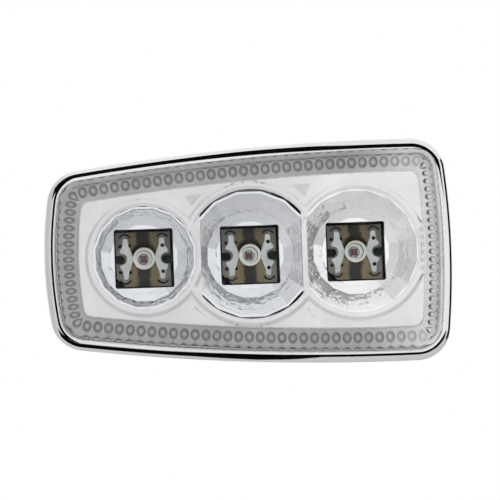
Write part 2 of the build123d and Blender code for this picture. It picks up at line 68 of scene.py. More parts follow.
# Steps of the meshes
EDGE_STEPS = 12             # over the lens's front edge
BAND_ROWS = 18              # across the beaded band
RIM_STEPS = 420             # round the rim
RIM_ROUND_STEPS = 16        # over the rim's outer round
RIM_BEVEL_STEPS = 6         # over its inner round
PLATE_STEPS = 300           # round the plate
PLATE_ROUND_STEPS = 5       # over the plate's border
HOLE_STEPS = 144            # round a hole and its lip
LIP_STEPS = 10              # across a lip
DOME_STEPS = 14             # up an LED's dome
LED_SIDES = 40              # round a dome or a cup
# Steps along the thin dark arc behind each pad
HOOK_STEPS = 14             # along a bend of a lead frame
NOTCH_STEPS = 12            # round the end of a side notch
FLAG_STEPS = 12             # along a black flag's arc
FLOOR_SIDES = 96

# Angles above which an edge stays sharp
CREASE, LENS_CREASE, PLATE_CREASE = radians(35.0), radians(50.0), radians(32.0)
DOUBLES = 1e-7              # corners closer than this are one

# Lens
BAND_ROUND = 137.0 * MM     # about how long the beaded band is
OFF_BAND = -1.0             # band share of the points that aren't on the band
ACRYLIC_IOR, EPOXY_IOR = 1.49, 1.52
CLEAR_SHEEN = 0.1           # tint of the clear pieces' own reflections

# Rim
RIM_CHAMFER = 0.12 * MM     # at the flange's back
RIM_INNER_FOOT = 1.2 * MM   # inner wall's foot, above the flange's back
RIM_TUCK, RIM_TUCK_FOOT = 0.4 * MM, 0.9 * MM

# Plate
LIP_OVERLAP = 0.05 * MM     # part of a lip that its hole cuts away
LIP_SINK = 0.2 * MM         # foot of a lip inside the plate
LIP_DIP = 0.004 * MM        # a lip's outer edge, under the plate's face
LIP_EDGE = 0.55             # height of a lip at its hole, as a share of its crest
SLOPE_RUN = 1.8             # slope that ends the lips at the plate's border
SLOPE_RISES = (-0.3 * MM, 0.5 * MM)
UNCUT = 1.0                 # farther along the lamp than any hole
HOLE_REACH, POCKET_REACH = 2 * MM, MM
WELD_GAP = 0.0005 * MM
# Corners (x, z, depth in mm) of the three-sided pockets where two lips part; each has a mirrored one below
PLATE_POCKETS = (
    ((-7.6, 6.8, 0.40), (-8.5, 8.0, 0.06), (-6.1, 8.3, 0.06)),
    ((7.6, 7.4, 0.40), (5.9, 9.1, 0.06), (8.4, 9.2, 0.06)),
)

# LEDs
CLEAR, DULL, SIDES = range(3)       # materials of a body
SILVER, SHADE, CREAM_AND_HIGHLIGHT = range(3)     # materials of a lead frame
# Painted shade in the pad holes: a dark disc under each hole, of this share of its radius
HOLE_SHADE_SHARE = 0.95                   # dark plug in a pad's hole, of the hole's radius
PAD_HOLE_SIDES, DARK_SPOT_SIDES = 16, 14
PIN_OVERLAP = 0.05 * MM             # head of a pin inside the lead frame
# Angles between which the thin dark arc behind each pad runs
HOOK_FIRST, HOOK_LAST = 25.0, 155.0
# Flat dark discs, to either side of a pad's middle
DARK_SPOT_ASIDE = 0.65 * MM            # dimples, to either side of a pad's middle
NECK_REACH, NECK_HALF, NECK_SKIN = -1.9 * MM, 0.3 * MM, 0.02 * MM
# Upper half (mm) of a lead frame: a strip that bends round the notch, and a long pad with an ear
FRAME_INNER = ((1.47, 0.0), (1.52, 0.45), (1.68, 0.90), (1.86, 1.40), (2.08, 1.85), (2.12, 2.72))
FRAME_OUTER = ((2.80, 2.72), (2.84, 1.72), (3.00, 1.45), (3.24, 1.22), (3.28, 0.86), (2.76, 0.74),
               (2.36, 0.46), (2.28, 0.0))

# Black flags: places along the lamp (mm), and the angles round the rim between which a flag reaches there
TOP_FLAG = ((-150, 16, 66), (-13, 16, 70), (0, 14, 77), (8, 11, 72), (14, 6, 66), (20, 4, 50), (150, 4, 36))
BOTTOM_FLAG = ((-150, 22, 76), (-13, 24, 80), (0, 13, 98), (7, 12, 80), (14, 9, 42), (150, 8, 34))
END_FLAGS = ((-1, 2.0, 27.0, "flag_left"), (1, 82.0, 125.0, "flag_right"))
END_FLAG_HEIGHTS = (-0.05, 0.05)
FLAG_AXIS = (27.5 * MM, -4.0 * MM, 14.0 * MM)   # rim's crest at an end and at a long side

AIM = Vector((0.0, -3.0 * MM, 0.0))             # what the camera looks at
CLIP_START, CLIP_END = 0.01, 10.0
WORLD_FALL = (-0.95, -0.25)                     # directions between which the narrow side grows lighter


def length(name, description, default, low=0.0):
    return FloatProperty(name=name, description=description, default=default, min=low,
                         subtype="DISTANCE", unit="LENGTH", precision=5)


def angle(name, description, default):
    return FloatProperty(name=name, description=description, default=radians(default),
                         subtype="ANGLE", unit="ROTATION")


def share(name, description, default, low=0.0, high=1.0):
    return FloatProperty(name=name, description=description, default=default, min=low, max=high)


def colour(name, description, default):
    return FloatVectorProperty(name=name, description=description, default=default, size=3,
                               min=0.0, max=1.0, subtype="COLOR")


class LampOutlineSizes(bpy.types.PropertyGroup):
    """The rounded trapezoid that every border follows"""
    overall: length("Length", "Overall length of the flange", HOUSING_HIGH.x - HOUSING_LOW.x)
    narrow_height: length("Narrow height", "Height at the narrow end", 23.2 * MM)
    wide_height: length("Wide height", "Height at the wide end", 29.8 * MM)
    narrow_bulge: length("Narrow bulge", "Bow of the narrow end", 1.3 * MM)
    wide_bulge: length("Wide bulge", "Bow of the wide end", 1.1 * MM)
    side_bulge: length("Side bulge", "Bow of the long sides", 1.15 * MM)
    corner: length("Corner", "Corner radius of the flange", 4.6 * MM)
    inner_corner: length("Inner corner", "Smallest corner radius of an inner border", 1.2 * MM)


class LampLensSizes(bpy.types.PropertyGroup):
    """The clear lens and its beaded band"""
    edge: length("Edge", "Lens edge, in from the flange", 1.6 * MM)
    skirt: length("Skirt", "Wall of the skirt", 0.6 * MM)
    foot: length("Foot", "Level of the skirt's end", -LENS_HIGH.y)
    crown: length("Crown", "Level of the front face", -LENS_LOW.y)
    edge_round: length("Edge round", "Radius of the front edge", 0.8 * MM)
    wall: length("Wall", "Thickness at the window", 2.0 * MM)
    band_width: length("Band width", "Beaded band, from the lens edge inwards", 2.7 * MM)
    band_step: length("Band step", "Extra thickness at the band", 0.6 * MM)
    stretch: length("Wide stretch", "How much narrower the band is at the wide end", 0.45 * MM)
    hold: length("Hold", "Narrow ring that keeps a flat face flat beside a round", 0.12 * MM)
    bead_pitch: length("Bead pitch", "Distance from bead to bead along the long sides", 1.45 * MM)
    end_pitch: length("End pitch", "Distance from bead to bead at the two ends", 1.05 * MM)
    bead_along: length("Bead along", "Half width of a bead along the band", 0.68 * MM)
    bead_across: length("Bead across", "Half width of a bead across the band", 0.84 * MM)
    bead_height: length("Bead height", "How far a bead stands out", 0.22 * MM)
    steps: IntProperty(name="Steps", description="Steps round the border for each bead", default=18, min=6)


class LampFrontSizes(bpy.types.PropertyGroup):
    """The bright rim, and the plate with its lips"""
    rim_width: length("Rim width", "Width of the rim", 1.5 * MM)
    rim_round: length("Rim round", "Outer round of the rim", 1.15 * MM)
    rim_bevel: length("Rim bevel", "Inner round of the rim", 0.18 * MM)
    rim_top: length("Rim top", "Level of the rim's crest", 4.3 * MM)
    rim_foot: length("Rim foot", "Level of the flange's back", 1.5 * MM)
    rim_skin: length("Rim skin", "Thickness of the bright skin over the moulding", 0.02 * MM)
    plate_edge: length("Plate edge", "Plate border, in from the flange", 4.45 * MM)
    plate_front: length("Plate front", "Level of the plate's face", 6.0 * MM)
    plate_back: length("Plate back", "Level of the plate's back", 4.8 * MM)
    plate_foot: length("Plate foot", "Level of the skirt's end", -PLATE_HIGH.y)
    plate_skirt: length("Plate skirt", "Wall of the plate's skirt", 0.5 * MM)
    plate_round: length("Plate round", "Rounded border of the plate", 0.25 * MM)
    web: length("Web", "Bar between two holes", 0.7 * MM)
    narrow_gap: length("Narrow gap", "From the narrow bowl's facets to its hole", 0.36 * MM)
    middle_gap: length("Middle gap", "From the middle bowl's facets to its hole", 0.6 * MM)
    wide_gap: length("Wide gap", "From the wide bowl's facets to its hole", 0.3 * MM)
    lip_width: length("Lip width", "Width of the raised lip", 1.2 * MM)
    lip_height: length("Lip height", "Height of the raised lip", 0.26 * MM)
    narrow_bowl: length("Narrow bowl", "Half width of the bowl at the narrow end", 6.55 * MM)
    middle_bowl: length("Middle bowl", "Half width of the middle bowl", 8.1 * MM)
    wide_bowl: length("Wide bowl", "Half width of the bowl at the wide end", 8.0 * MM)


class LampLedSizes(bpy.types.PropertyGroup):
    """The square LEDs with their lead frames"""
    size: length("Size", "Width of the body", 7.62 * MM)
    thickness: length("Thickness", "Thickness of the body", 2.4 * MM)
    clear: length("Clear", "Depth to which the body is clear", 1.0 * MM)
    draft: length("Draft", "How much narrower the face is than the back, on each side", 0.14 * MM)
    lean: length("Lean", "How far the face lies off the middle", 0.1 * MM)
    cut_corner: length("Cut corner", "Chamfer of the marked corner", 1.2 * MM)
    notch_width: length("Notch width", "Width of the side notches", 1.1 * MM)
    notch_depth: length("Notch depth", "Depth of the side notches", 1.3 * MM)
    dome: length("Dome", "Radius of the dome", 1.5 * MM)
    dome_neck: length("Dome neck", "Straight part under the dome", 0.4 * MM)
    frame_depth: length("Frame depth", "Lead frame under the face", 0.5 * MM)
    frame_thickness: length("Frame thickness", "Thickness of the lead frame", 0.4 * MM)
    cup: length("Cup", "Radius of the cup", 0.98 * MM)
    cup_mouth: length("Cup mouth", "Radius of the cup's mouth", 0.64 * MM)
    # Painted shade: a flat dark ring half way down the cup, in place of the shade of a recess there
    cup_waist: length("Cup waist", "Radius of the groove half way down the cup", 0.53 * MM)
    cup_shaded_groove: length("Cup groove", "Width of that groove", 0.03 * MM)
    cup_floor: length("Cup floor", "Radius of the cup's floor", 0.45 * MM)
    cup_depth: length("Cup depth", "Depth of the cup's floor under the lead frame", 0.2 * MM)
    cup_rise: length("Cup rise", "Cup's brim under the face of the body", 0.02 * MM)
    cup_ridge: length("Cup ridge", "Radius of the fine ridge on the cup's floor", 0.27 * MM)
    cup_ridge_height: length("Cup ridge height", "Height of that ridge", 0.03 * MM)
    frame_round: length("Frame round", "Rounded corners of the lead frame", 0.22 * MM)
    # A thin dark arc behind each pad of a lead frame
    dark_hook: length("Shoulder", "Radius of the dark bend behind each pad", 0.78 * MM)
    dark_hook_width: length("Shoulder width", "Width of that bend", 0.2 * MM)
    # A flat dark disc to either side of each pad of the cathode
    dark_spot: length("Dimple", "Radius of the dark dimples beside the cathode's pads", 0.23 * MM)
    pin_pitch: length("Pin pitch", "Distance between the pins", 5.08 * MM)
    pin: length("Pin", "Width of a pin", 0.5 * MM)
    pad_hole: length("Pad hole", "Radius of the hole in a pad", 0.27 * MM)
    pad_height: length("Pad height", "Height of the pad holes above the middle", 1.76 * MM)


class LampFinishes(bpy.types.PropertyGroup):
    """Colours of the materials"""
    rim: colour("Rim", "Bright plating of the rim", (0.79, 0.79, 0.80))
    plate: colour("Plate", "Satin plating of the plate", (0.74, 0.74, 0.745))
    # Painted reflection: the plate's plating grows paler towards the wide end, for the brighter light it
    # reflects there
    plate_wide_sheen: colour("Plate wide", "Plating at the plate's wide end", (0.84, 0.84, 0.845))
    bowl: colour("Bowl", "Bright plating of the bowls", (0.80, 0.82, 0.86))
    # Painted reflection: the bowls' plating grows paler towards the wide end, for the brighter light they
    # reflect there
    bowl_wide_sheen: colour("Bowl wide", "Brighter plating of the wide bowl", (0.94, 0.95, 0.965))
    moulding: colour("Moulding", "Dark plastic of the housing", (0.045, 0.045, 0.047))
    moulding_front: colour("Moulding front", "Thin plating under the lens", (0.74, 0.74, 0.75))
    # Painted reflection: the film under the lens grows paler towards the wide end, for the brighter light it
    # reflects there
    moulding_wide_sheen: colour("Moulding wide", "That plating at the wide end", (0.96, 0.96, 0.97))
    unplated: colour("Unplated", "Dark plastic where the plating ends", (0.030, 0.030, 0.032))
    acrylic: colour("Acrylic", "Clear lens", (0.985, 0.985, 0.985))
    # Painted shade on the bead flanks; the second colour is a paler version of it at the wide end, a painted
    # reflection
    bead_flank: colour("Bead flank", "Dull flanks of the beads", (0.16, 0.16, 0.165))
    bead_flank_shade_wide_sheen: colour("Bead flank wide", "Those flanks at the wide end", (0.52, 0.52, 0.53))
    epoxy: colour("Epoxy", "Clear LED body", (0.96, 0.95, 0.92))
    epoxy_back: colour("Epoxy back", "Dull back of the LED body, in the middle", (0.11, 0.108, 0.115))
    epoxy_amber: colour("Epoxy amber", "Warm tint beside the lead frames", (0.80, 0.67, 0.40))
    epoxy_side: colour("Epoxy side", "Paler sides of the LED body", (0.88, 0.86, 0.80))
    # Painted shade: the dark of the gap round each LED body, the dome's shadow, the discs under the pad holes
    # and the ring in each cup; also the darker top of each LED's back and the thin dark arcs and spots on the
    # lead frames
    shade: colour("Shade", "Dark bends and dimples of the lead frames", (0.012, 0.010, 0.009))
    silver: colour("Silver", "Lead frames", (0.84, 0.90, 0.97))
    # Partly a painted highlight: the bright brim of the cup also stands for the bright ring of light seen
    # round each dome
    cream_and_highlight: colour("Cream", "Bright brim of the cup", (0.97, 0.94, 0.85))
    die: colour("Die", "LED die", (0.42, 0.07, 0.03))
    die_edge: colour("Die edge", "Border of the LED die", (0.10, 0.075, 0.06))
    foam: colour("Foam", "Seal behind the flange", (0.022, 0.022, 0.023))
    board: colour("Board", "Lacquered circuit board", (0.020, 0.110, 0.045))
    nylon: colour("Nylon", "Wedge base", (0.62, 0.59, 0.50))
    tin: colour("Tin", "Wedge contacts", (0.62, 0.61, 0.58))
    chip: colour("Chip part", "Small parts on the board", (0.018, 0.018, 0.019))
    floor: colour("Floor", "Studio floor", (0.90, 0.90, 0.90))
    flag_low: colour("Flag low", "Black flags, darker patches", (0.002, 0.002, 0.002))
    flag_high: colour("Flag high", "Black flags, lighter patches", (0.007, 0.007, 0.007))


class LampStageSizes(bpy.types.PropertyGroup):
    """Camera, studio light and flags"""
    azimuth: angle("Azimuth", "Camera round the lamp", -3.0)
    elevation: angle("Elevation", "Camera above the lamp's axis", -2.0)
    roll: angle("Roll", "Turn of the picture", 2.05)
    distance: length("Distance", "Camera to lamp", 500 * MM)
    view_width: length("View width", "Width of the picture at the lamp", 67.4 * MM)
    shift_x: share("Shift across", "Picture shift, in picture widths", 0.00264, low=-1.0)
    shift_y: share("Shift up", "Picture shift, in picture widths", 0.00984, low=-1.0)
    floor_level: length("Floor level", "Height of the floor", -110 * MM, low=-1.0)
    floor_size: length("Floor size", "Radius of the floor", 600 * MM)
    flag_distance: length("Flag distance", "From the rim to the black flags", 90 * MM)
    narrow_side: share("Narrow side", "Level of the studio towards the narrow end, in reflections", 0.65)
    ambient: share("Ambient", "Level of the light from all round", 0.55, high=4.0)
    key_power: FloatProperty(name="Key power", description="Power of the soft lamp", default=1.6, min=0.0,
                             unit="POWER")
    key_width: length("Key width", "Width of the soft lamp", 0.35)
    key_height: length("Key height", "Height of the soft lamp", 0.25)
    key_place: FloatVectorProperty(name="Key place", description="Where the soft lamp stands",
                                   default=(-0.15, -0.45, 0.40), size=3, subtype="TRANSLATION", unit="LENGTH")


def arc_radius(half_chord, bulge):
    return (half_chord ** 2 + bulge ** 2) / (2 * bulge)


def crossing(a, ra, b, rb, near):
    """The crossing of two circles that lies nearest to a point."""
    gap = b - a
    along = (gap.length_squared + ra * ra - rb * rb) / (2 * gap.length)
    off = sqrt(max(ra * ra - along * along, 0.0))
    ahead = gap.normalized()
    across = Vector((-ahead.y, ahead.x))
    points = [a + ahead * along + across * off * side for side in (-1, 1)]
    return min(points, key=lambda p: (p - near).length)


def border_arcs(sizes, inset, stretch):
    """Upper half of a border as arcs (centre, radius, first angle, last angle), wide end first."""
    half = sizes.overall / 2
    narrow_end = Vector((sizes.narrow_bulge - half, sizes.narrow_height / 2))
    wide_end = Vector((half - sizes.wide_bulge, sizes.wide_height / 2))
    chord = wide_end - narrow_end
    out = Vector((-chord.y, chord.x)).normalized()
    r_narrow = arc_radius(narrow_end.y, sizes.narrow_bulge)
    r_wide = arc_radius(wide_end.y, sizes.wide_bulge)
    r_side = arc_radius(chord.length / 2, sizes.side_bulge)
    narrow = Vector((r_narrow - half, 0.0))
    wide = Vector((half - r_wide, 0.0))
    side = (narrow_end + wide_end) / 2 - out * (r_side - sizes.side_bulge)
    r_narrow, r_side, r_wide = r_narrow - inset, r_side - inset, r_wide - inset + stretch
    corner = max(sizes.corner - inset, sizes.inner_corner)
    arcs = []
    start = 0.0
    walls = ((wide, r_wide), (side, r_side), (narrow, r_narrow))
    for (a, ra), (b, rb), tip in zip(walls, walls[1:], (wide_end, narrow_end)):
        centre = crossing(a, ra - corner, b, rb - corner, tip)
        leave = atan2(centre.y - a.y, centre.x - a.x)
        arrive = atan2(centre.y - b.y, centre.x - b.x)
        arcs += [(a, ra, start, leave), (centre, corner, leave, arrive)]
        start = arrive
    arcs.append((narrow, r_narrow, start, pi))
    return arcs


def border_counts(sizes, inset, stretch, steps):
    """How many steps each arc of the upper half gets, for about equal steps all round."""
    arcs = border_arcs(sizes, inset, stretch)
    lengths = [abs(last - first) * radius for _, radius, first, last in arcs]
    return [max(3, round(steps / 2 * part / sum(lengths))) for part in lengths]


def border(sizes, inset, stretch, counts):
    """Points (x, z) round a border, starting at the middle of the wide end."""
    arcs = border_arcs(sizes, inset, stretch)
    upper = []
    for (centre, radius, first, last), count in zip(arcs, counts):
        for step in range(count):
            turn = first + (last - first) * step / count
            upper.append((centre.x + radius * cos(turn), centre.y + radius * sin(turn)))
    centre, radius, _, last = arcs[-1]
    upper.append((centre.x + radius * cos(last), 0.0))
    return upper + [(x, -z) for x, z in reversed(upper[1:-1])]


def turns(first, last, steps):
    """Angles in radians at equal steps between two given in degrees."""
    return [radians(first + (last - first) * i / steps) for i in range(steps + 1)]


def round_points(centre_inset, centre_level, radius, first, last, steps):
    """Points (inset, level) on a rounded edge; at 0 degrees it faces out, at 90 it faces the front."""
    angles = turns(first, last, steps)
    return [(centre_inset - radius * cos(t), centre_level + radius * sin(t)) for t in angles]


def circle(x, z, radius, steps):
    angles = [2 * pi * i / steps for i in range(steps)]
    return [(x + radius * cos(t), z + radius * sin(t)) for t in angles]


def clipped_circle(x, radius, left, right, steps):
    """Circle cut off by two upright lines; its corners lie half a step off those of a lathed ring."""
    angles = [2 * pi * (i + 0.5) / steps for i in range(steps)]
    return [(min(max(x + radius * cos(t), left), right), radius * sin(t)) for t in angles]


def rounded(points, radius, steps=4):
    """Closed loop with a short curve at each corner."""
    loop = []
    for before, corner, after in zip(points[-1:] + points[:-1], points, points[1:] + points[:1]):
        corner = Vector(corner)
        ways = [Vector(other) - corner for other in (before, after)]
        first, last = (corner + way * min(radius / way.length, 0.45) for way in ways)
        for i in range(steps + 1):
            part = i / steps
            point = first * (1 - part) ** 2 + corner * 2 * part * (1 - part) + last * part ** 2
            loop.append((point.x, point.y))
    return loop


def arc_strip(u, v, radius, width, angles):
    """Loop round a bent strip: an arc of some width about a point."""
    outer = [(u + (radius + width / 2) * cos(t), v + (radius + width / 2) * sin(t)) for t in angles]
    inner = [(u + (radius - width / 2) * cos(t), v + (radius - width / 2) * sin(t)) for t in reversed(angles)]
    return outer + inner


def ring_verts(bm, points, level, x=0.0):
    return [bm.verts.new((x + u, -level, v)) for u, v in points]


def join_rings(bm, first, second, material=0):
    """Faces between two rings of as many points, or between a ring and a single point."""
    if len(second) == 1:
        first, second = second, first
    for i, vert in enumerate(second):
        j = (i + 1) % len(second)
        if len(first) == 1:
            corners = (first[0], vert, second[j])
        else:
            corners = (first[i], first[j], second[j], vert)
        bm.faces.new(corners).material_index = material


def sweep(bm, rings, closed=False, material=0):
    """Joins rings one after the other; a closed sweep joins the last to the first."""
    for first, second in zip(rings, rings[1:]):
        join_rings(bm, first, second, material)
    if closed:
        join_rings(bm, rings[-1], rings[0], material)


def capped(bm, rings):
    """Closed body: rings joined one after the other, with a cap on the first and on the last."""
    sweep(bm, rings)
    bm.faces.new(rings[0])
    bm.faces.new(rings[-1])


def lathe(bm, x, profile, steps, material=0, closed=False):
    """Turns a profile of (radius, level) about an axis along y, and returns its rings."""
    rings = []
    for radius, level in profile:
        points = circle(x, 0.0, radius, steps) if radius else [(x, 0.0)]
        rings.append(ring_verts(bm, points, level))
    sweep(bm, rings, closed, material)
    return rings


def loop_edges(ring):
    return zip(ring, ring[1:] + ring[:1])


def prism(bm, outer, low, high, x=0.0, holes=(), material=0):
    """Closed plate between two levels, from flat loops that are moved along the lamp by x."""
    caps = []
    for level in (low, high):
        rings = [ring_verts(bm, loop, level, x) for loop in (outer, *holes)]
        edges = [bm.edges.new(pair) for ring in rings for pair in loop_edges(ring)]
        for item in bmesh.ops.triangle_fill(bm, use_beauty=True, edges=edges)["geom"]:
            if isinstance(item, bmesh.types.BMFace):
                item.material_index = material
        caps.append(rings)
    for low_ring, high_ring in zip(*caps):
        join_rings(bm, low_ring, high_ring, material)


def finish_mesh(bm, name, *materials):
    """Turns a bmesh into an object at the origin that shades smooth below an angle."""
    bmesh.ops.recalc_face_normals(bm, faces=bm.faces)
    mesh = bpy.data.meshes.new(name)
    bm.to_mesh(mesh)
    bm.free()
    for material in materials:
        mesh.materials.append(material)
    mesh.shade_smooth()
    mesh.set_sharp_from_angle(angle=CREASE)
    piece = bpy.data.objects.new(name, mesh)
    bpy.context.scene.collection.objects.link(piece)
    return piece


def bake_modifiers(piece):
    """Puts the result of the piece's modifiers into its mesh."""
    bpy.context.view_layer.update()
    graph = bpy.context.evaluated_depsgraph_get()
    mesh = bpy.data.meshes.new_from_object(piece.evaluated_get(graph), depsgraph=graph)
    piece.modifiers.clear()
    old = piece.data
    piece.data = mesh
    bpy.data.meshes.remove(old)
    mesh.name = piece.name


def combine(piece, other, operation):
    """Joins, cuts or limits a piece by another one, which goes."""
    modifier = piece.modifiers.new(operation, "BOOLEAN")
    modifier.object = other
    modifier.operation = operation
    modifier.solver = "EXACT"
    bake_modifiers(piece)
    mesh = other.data
    bpy.data.objects.remove(other)
    bpy.data.meshes.remove(mesh)


def weld(piece, gap):
    """Joins the corners that a cut has left closer than a gap, and splits its many-sided faces."""
    bm = bmesh.new()
    bm.from_mesh(piece.data)
    bmesh.ops.remove_doubles(bm, verts=bm.verts, dist=gap)
    bmesh.ops.dissolve_degenerate(bm, edges=bm.edges, dist=gap)
    bmesh.ops.triangulate(bm, faces=[face for face in bm.faces if len(face.verts) > 4])
    bm.to_mesh(piece.data)
    bm.free()


def add_piece(piece, nodes=()):
    """Puts a piece on the lamp, with its finish and the nodes that it stands for."""
    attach(piece, BODY)
    if nodes:
        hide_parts(*nodes)


def dress(node, material):
    """Gives a carried-over node its material."""
    mesh = NODES[node].data
    mesh.materials.clear()
    mesh.materials.append(material)


class NodeBench:
    """Makes the nodes of a tree; what goes into a socket is another socket or a plain value."""

    def __init__(self, tree):
        self.nodes, self.links = tree.nodes, tree.links

    def put(self, socket, value):
        if isinstance(value, bpy.types.NodeSocket):
            self.links.new(value, socket)
        elif socket.type == "RGBA":
            socket.default_value = (*value, 1.0)
        else:
            socket.default_value = value

    def node(self, kind, inputs=None, **settings):
        node = self.nodes.new(kind)
        for name, value in settings.items():
            setattr(node, name, value)
        for name, value in (inputs or {}).items():
            self.put(node.inputs[name], value)
        return node

    def maths(self, operation, *values):
        return self.node("ShaderNodeMath", dict(enumerate(values)), operation=operation).outputs["Value"]

    def split(self, vector):
        """The X, Y and Z of a vector."""
        return self.node("ShaderNodeSeparateXYZ", {"Vector": vector}).outputs

    def ramp(self, value, first, last, **settings):
        """Share that grows from 0 to 1 between two values."""
        inputs = {"Value": value, "From Min": first, "From Max": last}
        return self.node("ShaderNodeMapRange", inputs, **settings).outputs["Result"]

    def mix(self, mask, first, second):
        """Value between two others."""
        return self.node("ShaderNodeMix", {"Factor": mask, "A": first, "B": second}).outputs["Result"]

    def blend(self, mask, first, second):
        """Colour between two others."""
        inputs = {"Factor": mask, "A": first, "B": second}
        return self.node("ShaderNodeMix", inputs, data_type="RGBA").outputs["Result"]

    def uneven(self, base, less, more, mask):
        """Colour that a mask takes from less to more than its own brightness."""
        ends = (tuple(min(1.0, channel * factor) for channel in base) for factor in (less, more))
        return self.blend(mask, *ends)

    def mottle(self, low, high, patch, grain, share):
        """Uneven patches from a low to a high value; patch and grain are scales, share is the grain's."""
        inputs = {"Patch Scale": patch, "Grain Scale": grain, "Grain Share": share, "Low": low, "High": high}
        return self.node("ShaderNodeGroup", inputs, node_tree=mottle_group()).outputs

    def front_mask(self):
        return self.node("ShaderNodeGroup", node_tree=front_mask_group()).outputs["Mask"]

    def wide_share(self, first, last):
        """Share that grows from 0 to 1 between two places along the lamp, towards its wide end."""
        return self.ramp(self.split(self.node("ShaderNodeTexCoord").outputs["Object"])["X"], first, last)

    def surface(self, inputs):
        """Fills in the material's own shader."""
        for name, value in inputs.items():
            self.put(self.nodes["Principled BSDF"].inputs[name], value)

    def bump(self, height, distance, strength):
        inputs = {"Height": height, "Distance": distance, "Strength": strength}
        self.surface({"Normal": self.node("ShaderNodeBump", inputs).outputs["Normal"]})


def node_group(name, kind, sockets):
    """New node group, the bench for its nodes, what it is given and its result."""
    tree = bpy.data.node_groups.new(name, kind)
    for label, in_out, socket_kind, *default in sockets:
        socket = tree.interface.new_socket(name=label, in_out=in_out, socket_type="NodeSocket" + socket_kind)
        if default:
            socket.default_value = default[0]
    bench = NodeBench(tree)
    return tree, bench, bench.node("NodeGroupInput").outputs, bench.node("NodeGroupOutput").inputs


def mottle_group():
    """Shader group: soft uneven patches with fine grain in them, from a low to a high value."""
    name = "Mottle"
    if name in bpy.data.node_groups:
        return bpy.data.node_groups[name]
    tree, bench, given, result = node_group(name, "ShaderNodeTree", (
        ("Patch Scale", "INPUT", "Float", 120.0),
        ("Grain Scale", "INPUT", "Float", 2500.0),
        ("Grain Share", "INPUT", "Float", 0.35),
        ("Low", "INPUT", "Float", 0.0),
        ("High", "INPUT", "Float", 1.0),
        ("Value", "OUTPUT", "Float"),
        ("Grain", "OUTPUT", "Float"),
    ))
    where = bench.node("ShaderNodeTexCoord").outputs["Object"]
    noises = [{"Vector": where, "Scale": given["Patch Scale"], "Detail": 3.0},
              {"Vector": where, "Scale": given["Grain Scale"], "Detail": 2.0}]
    patch, grain = (bench.node("ShaderNodeTexNoise", inputs).outputs["Fac"] for inputs in noises)
    both = bench.mix(given["Grain Share"], patch, grain)
    spread = bench.node("ShaderNodeMapRange", {
        "Value": both, "From Min": 0.3, "From Max": 0.7, "To Min": given["Low"], "To Max": given["High"]})
    bench.put(result["Value"], spread.outputs["Result"])
    bench.put(result["Grain"], grain)
    return tree


def front_mask_group():
    """Shader group: 1 where a surface faces the front, 0 where the plating doesn't reach."""
    name = "Plated Front"
    if name in bpy.data.node_groups:
        return bpy.data.node_groups[name]
    tree, bench, given, result = node_group(name, "ShaderNodeTree", (
        ("Least Tilt", "INPUT", "Float", 0.1),
        ("Full Tilt", "INPUT", "Float", 0.3),
        ("Mask", "OUTPUT", "Float"),
    ))
    normal = bench.split(bench.node("ShaderNodeTexCoord").outputs["Normal"])
    ahead = bench.maths("MULTIPLY", normal["Y"], -1.0)
    bench.put(result["Mask"], bench.ramp(ahead, given["Least Tilt"], given["Full Tilt"]))
    return tree


def new_material(name):
    """New material, and the bench for its nodes."""
    material = bpy.data.materials.new(name)
    material.use_nodes = True
    return material, NodeBench(material.node_tree)


def plated_material(name, plating, wide, rough, ripple, unplated=None):
    """Bright plating, uneven, and paler towards the wide end when a paler second colour is given there, a
    painted reflection; off the front it may give way to dark moulding.
    """
    material, bench = new_material(name)
    patches = bench.mottle(0.0, 1.0, patch=160.0, grain=1600.0, share=0.2)
    roughness = bench.mottle(*rough, patch=260.0, grain=4000.0, share=0.3)["Value"]
    # Painted reflection: the colour moves towards the paler wide-end one along the lamp
    tone = bench.blend(bench.wide_share(2.0 * MM, 12.0 * MM),
                       *(bench.uneven(end, 0.95, 1.05, patches["Value"]) for end in (plating, wide)))
    metallic = 1.0
    if unplated is not None:
        metallic = bench.front_mask()
        tone = bench.blend(metallic, unplated, tone)
        roughness = bench.mix(metallic, 0.35, roughness)
    bench.surface({"Base Color": tone, "Roughness": roughness, "Metallic": metallic, "IOR": 1.5})
    bench.bump(patches["Grain"], ripple, 1.0)
    return material


def moulding_material(name, finishes):
    """Dark moulding with a dull film of plating where it faces the front; towards the wide end the film is
    paler and more metallic, a painted reflection.
    """
    material, bench = new_material(name)
    patches = bench.mottle(0.0, 1.0, patch=220.0, grain=3500.0, share=0.45)
    base = bench.uneven(finishes.moulding, 0.8, 1.2, patches["Value"])
    film = bench.uneven(finishes.moulding_front, 0.9, 1.1, patches["Value"])
    wide, front = bench.wide_share(14.0 * MM, 23.0 * MM), bench.front_mask()
    # Painted reflection: towards the wide end the film turns paler and more metallic
    brightness = bench.node("ShaderNodeMapRange", {"Value": wide, "To Min": 0.65}).outputs["Result"]
    bench.surface({
        "Base Color": bench.blend(front, base, bench.blend(wide, film, finishes.moulding_wide_sheen)),
        "Roughness": bench.mottle(0.28, 0.45, patch=300.0, grain=3500.0, share=0.5)["Value"],
        "Metallic": bench.maths("MULTIPLY", front, brightness),
    })
    bench.bump(patches["Grain"], 0.01 * MM, 0.6)
    return material


def clear_material(name, base, ior, rough):
    """Clear cast or moulded plastic."""
    material, bench = new_material(name)
    patches = bench.mottle(0.0, 1.0, patch=90.0, grain=1800.0, share=0.2)
    bench.surface({
        "Base Color": bench.uneven(base, 0.985, 1.0, patches["Value"]),
        "Roughness": bench.mottle(rough * 0.5, rough, patch=200.0, grain=2600.0, share=0.3)["Value"],
        "Transmission Weight": 1.0,
        "IOR": ior,
        "Specular Tint": (CLEAR_SHEEN,) * 3,
    })
    return material


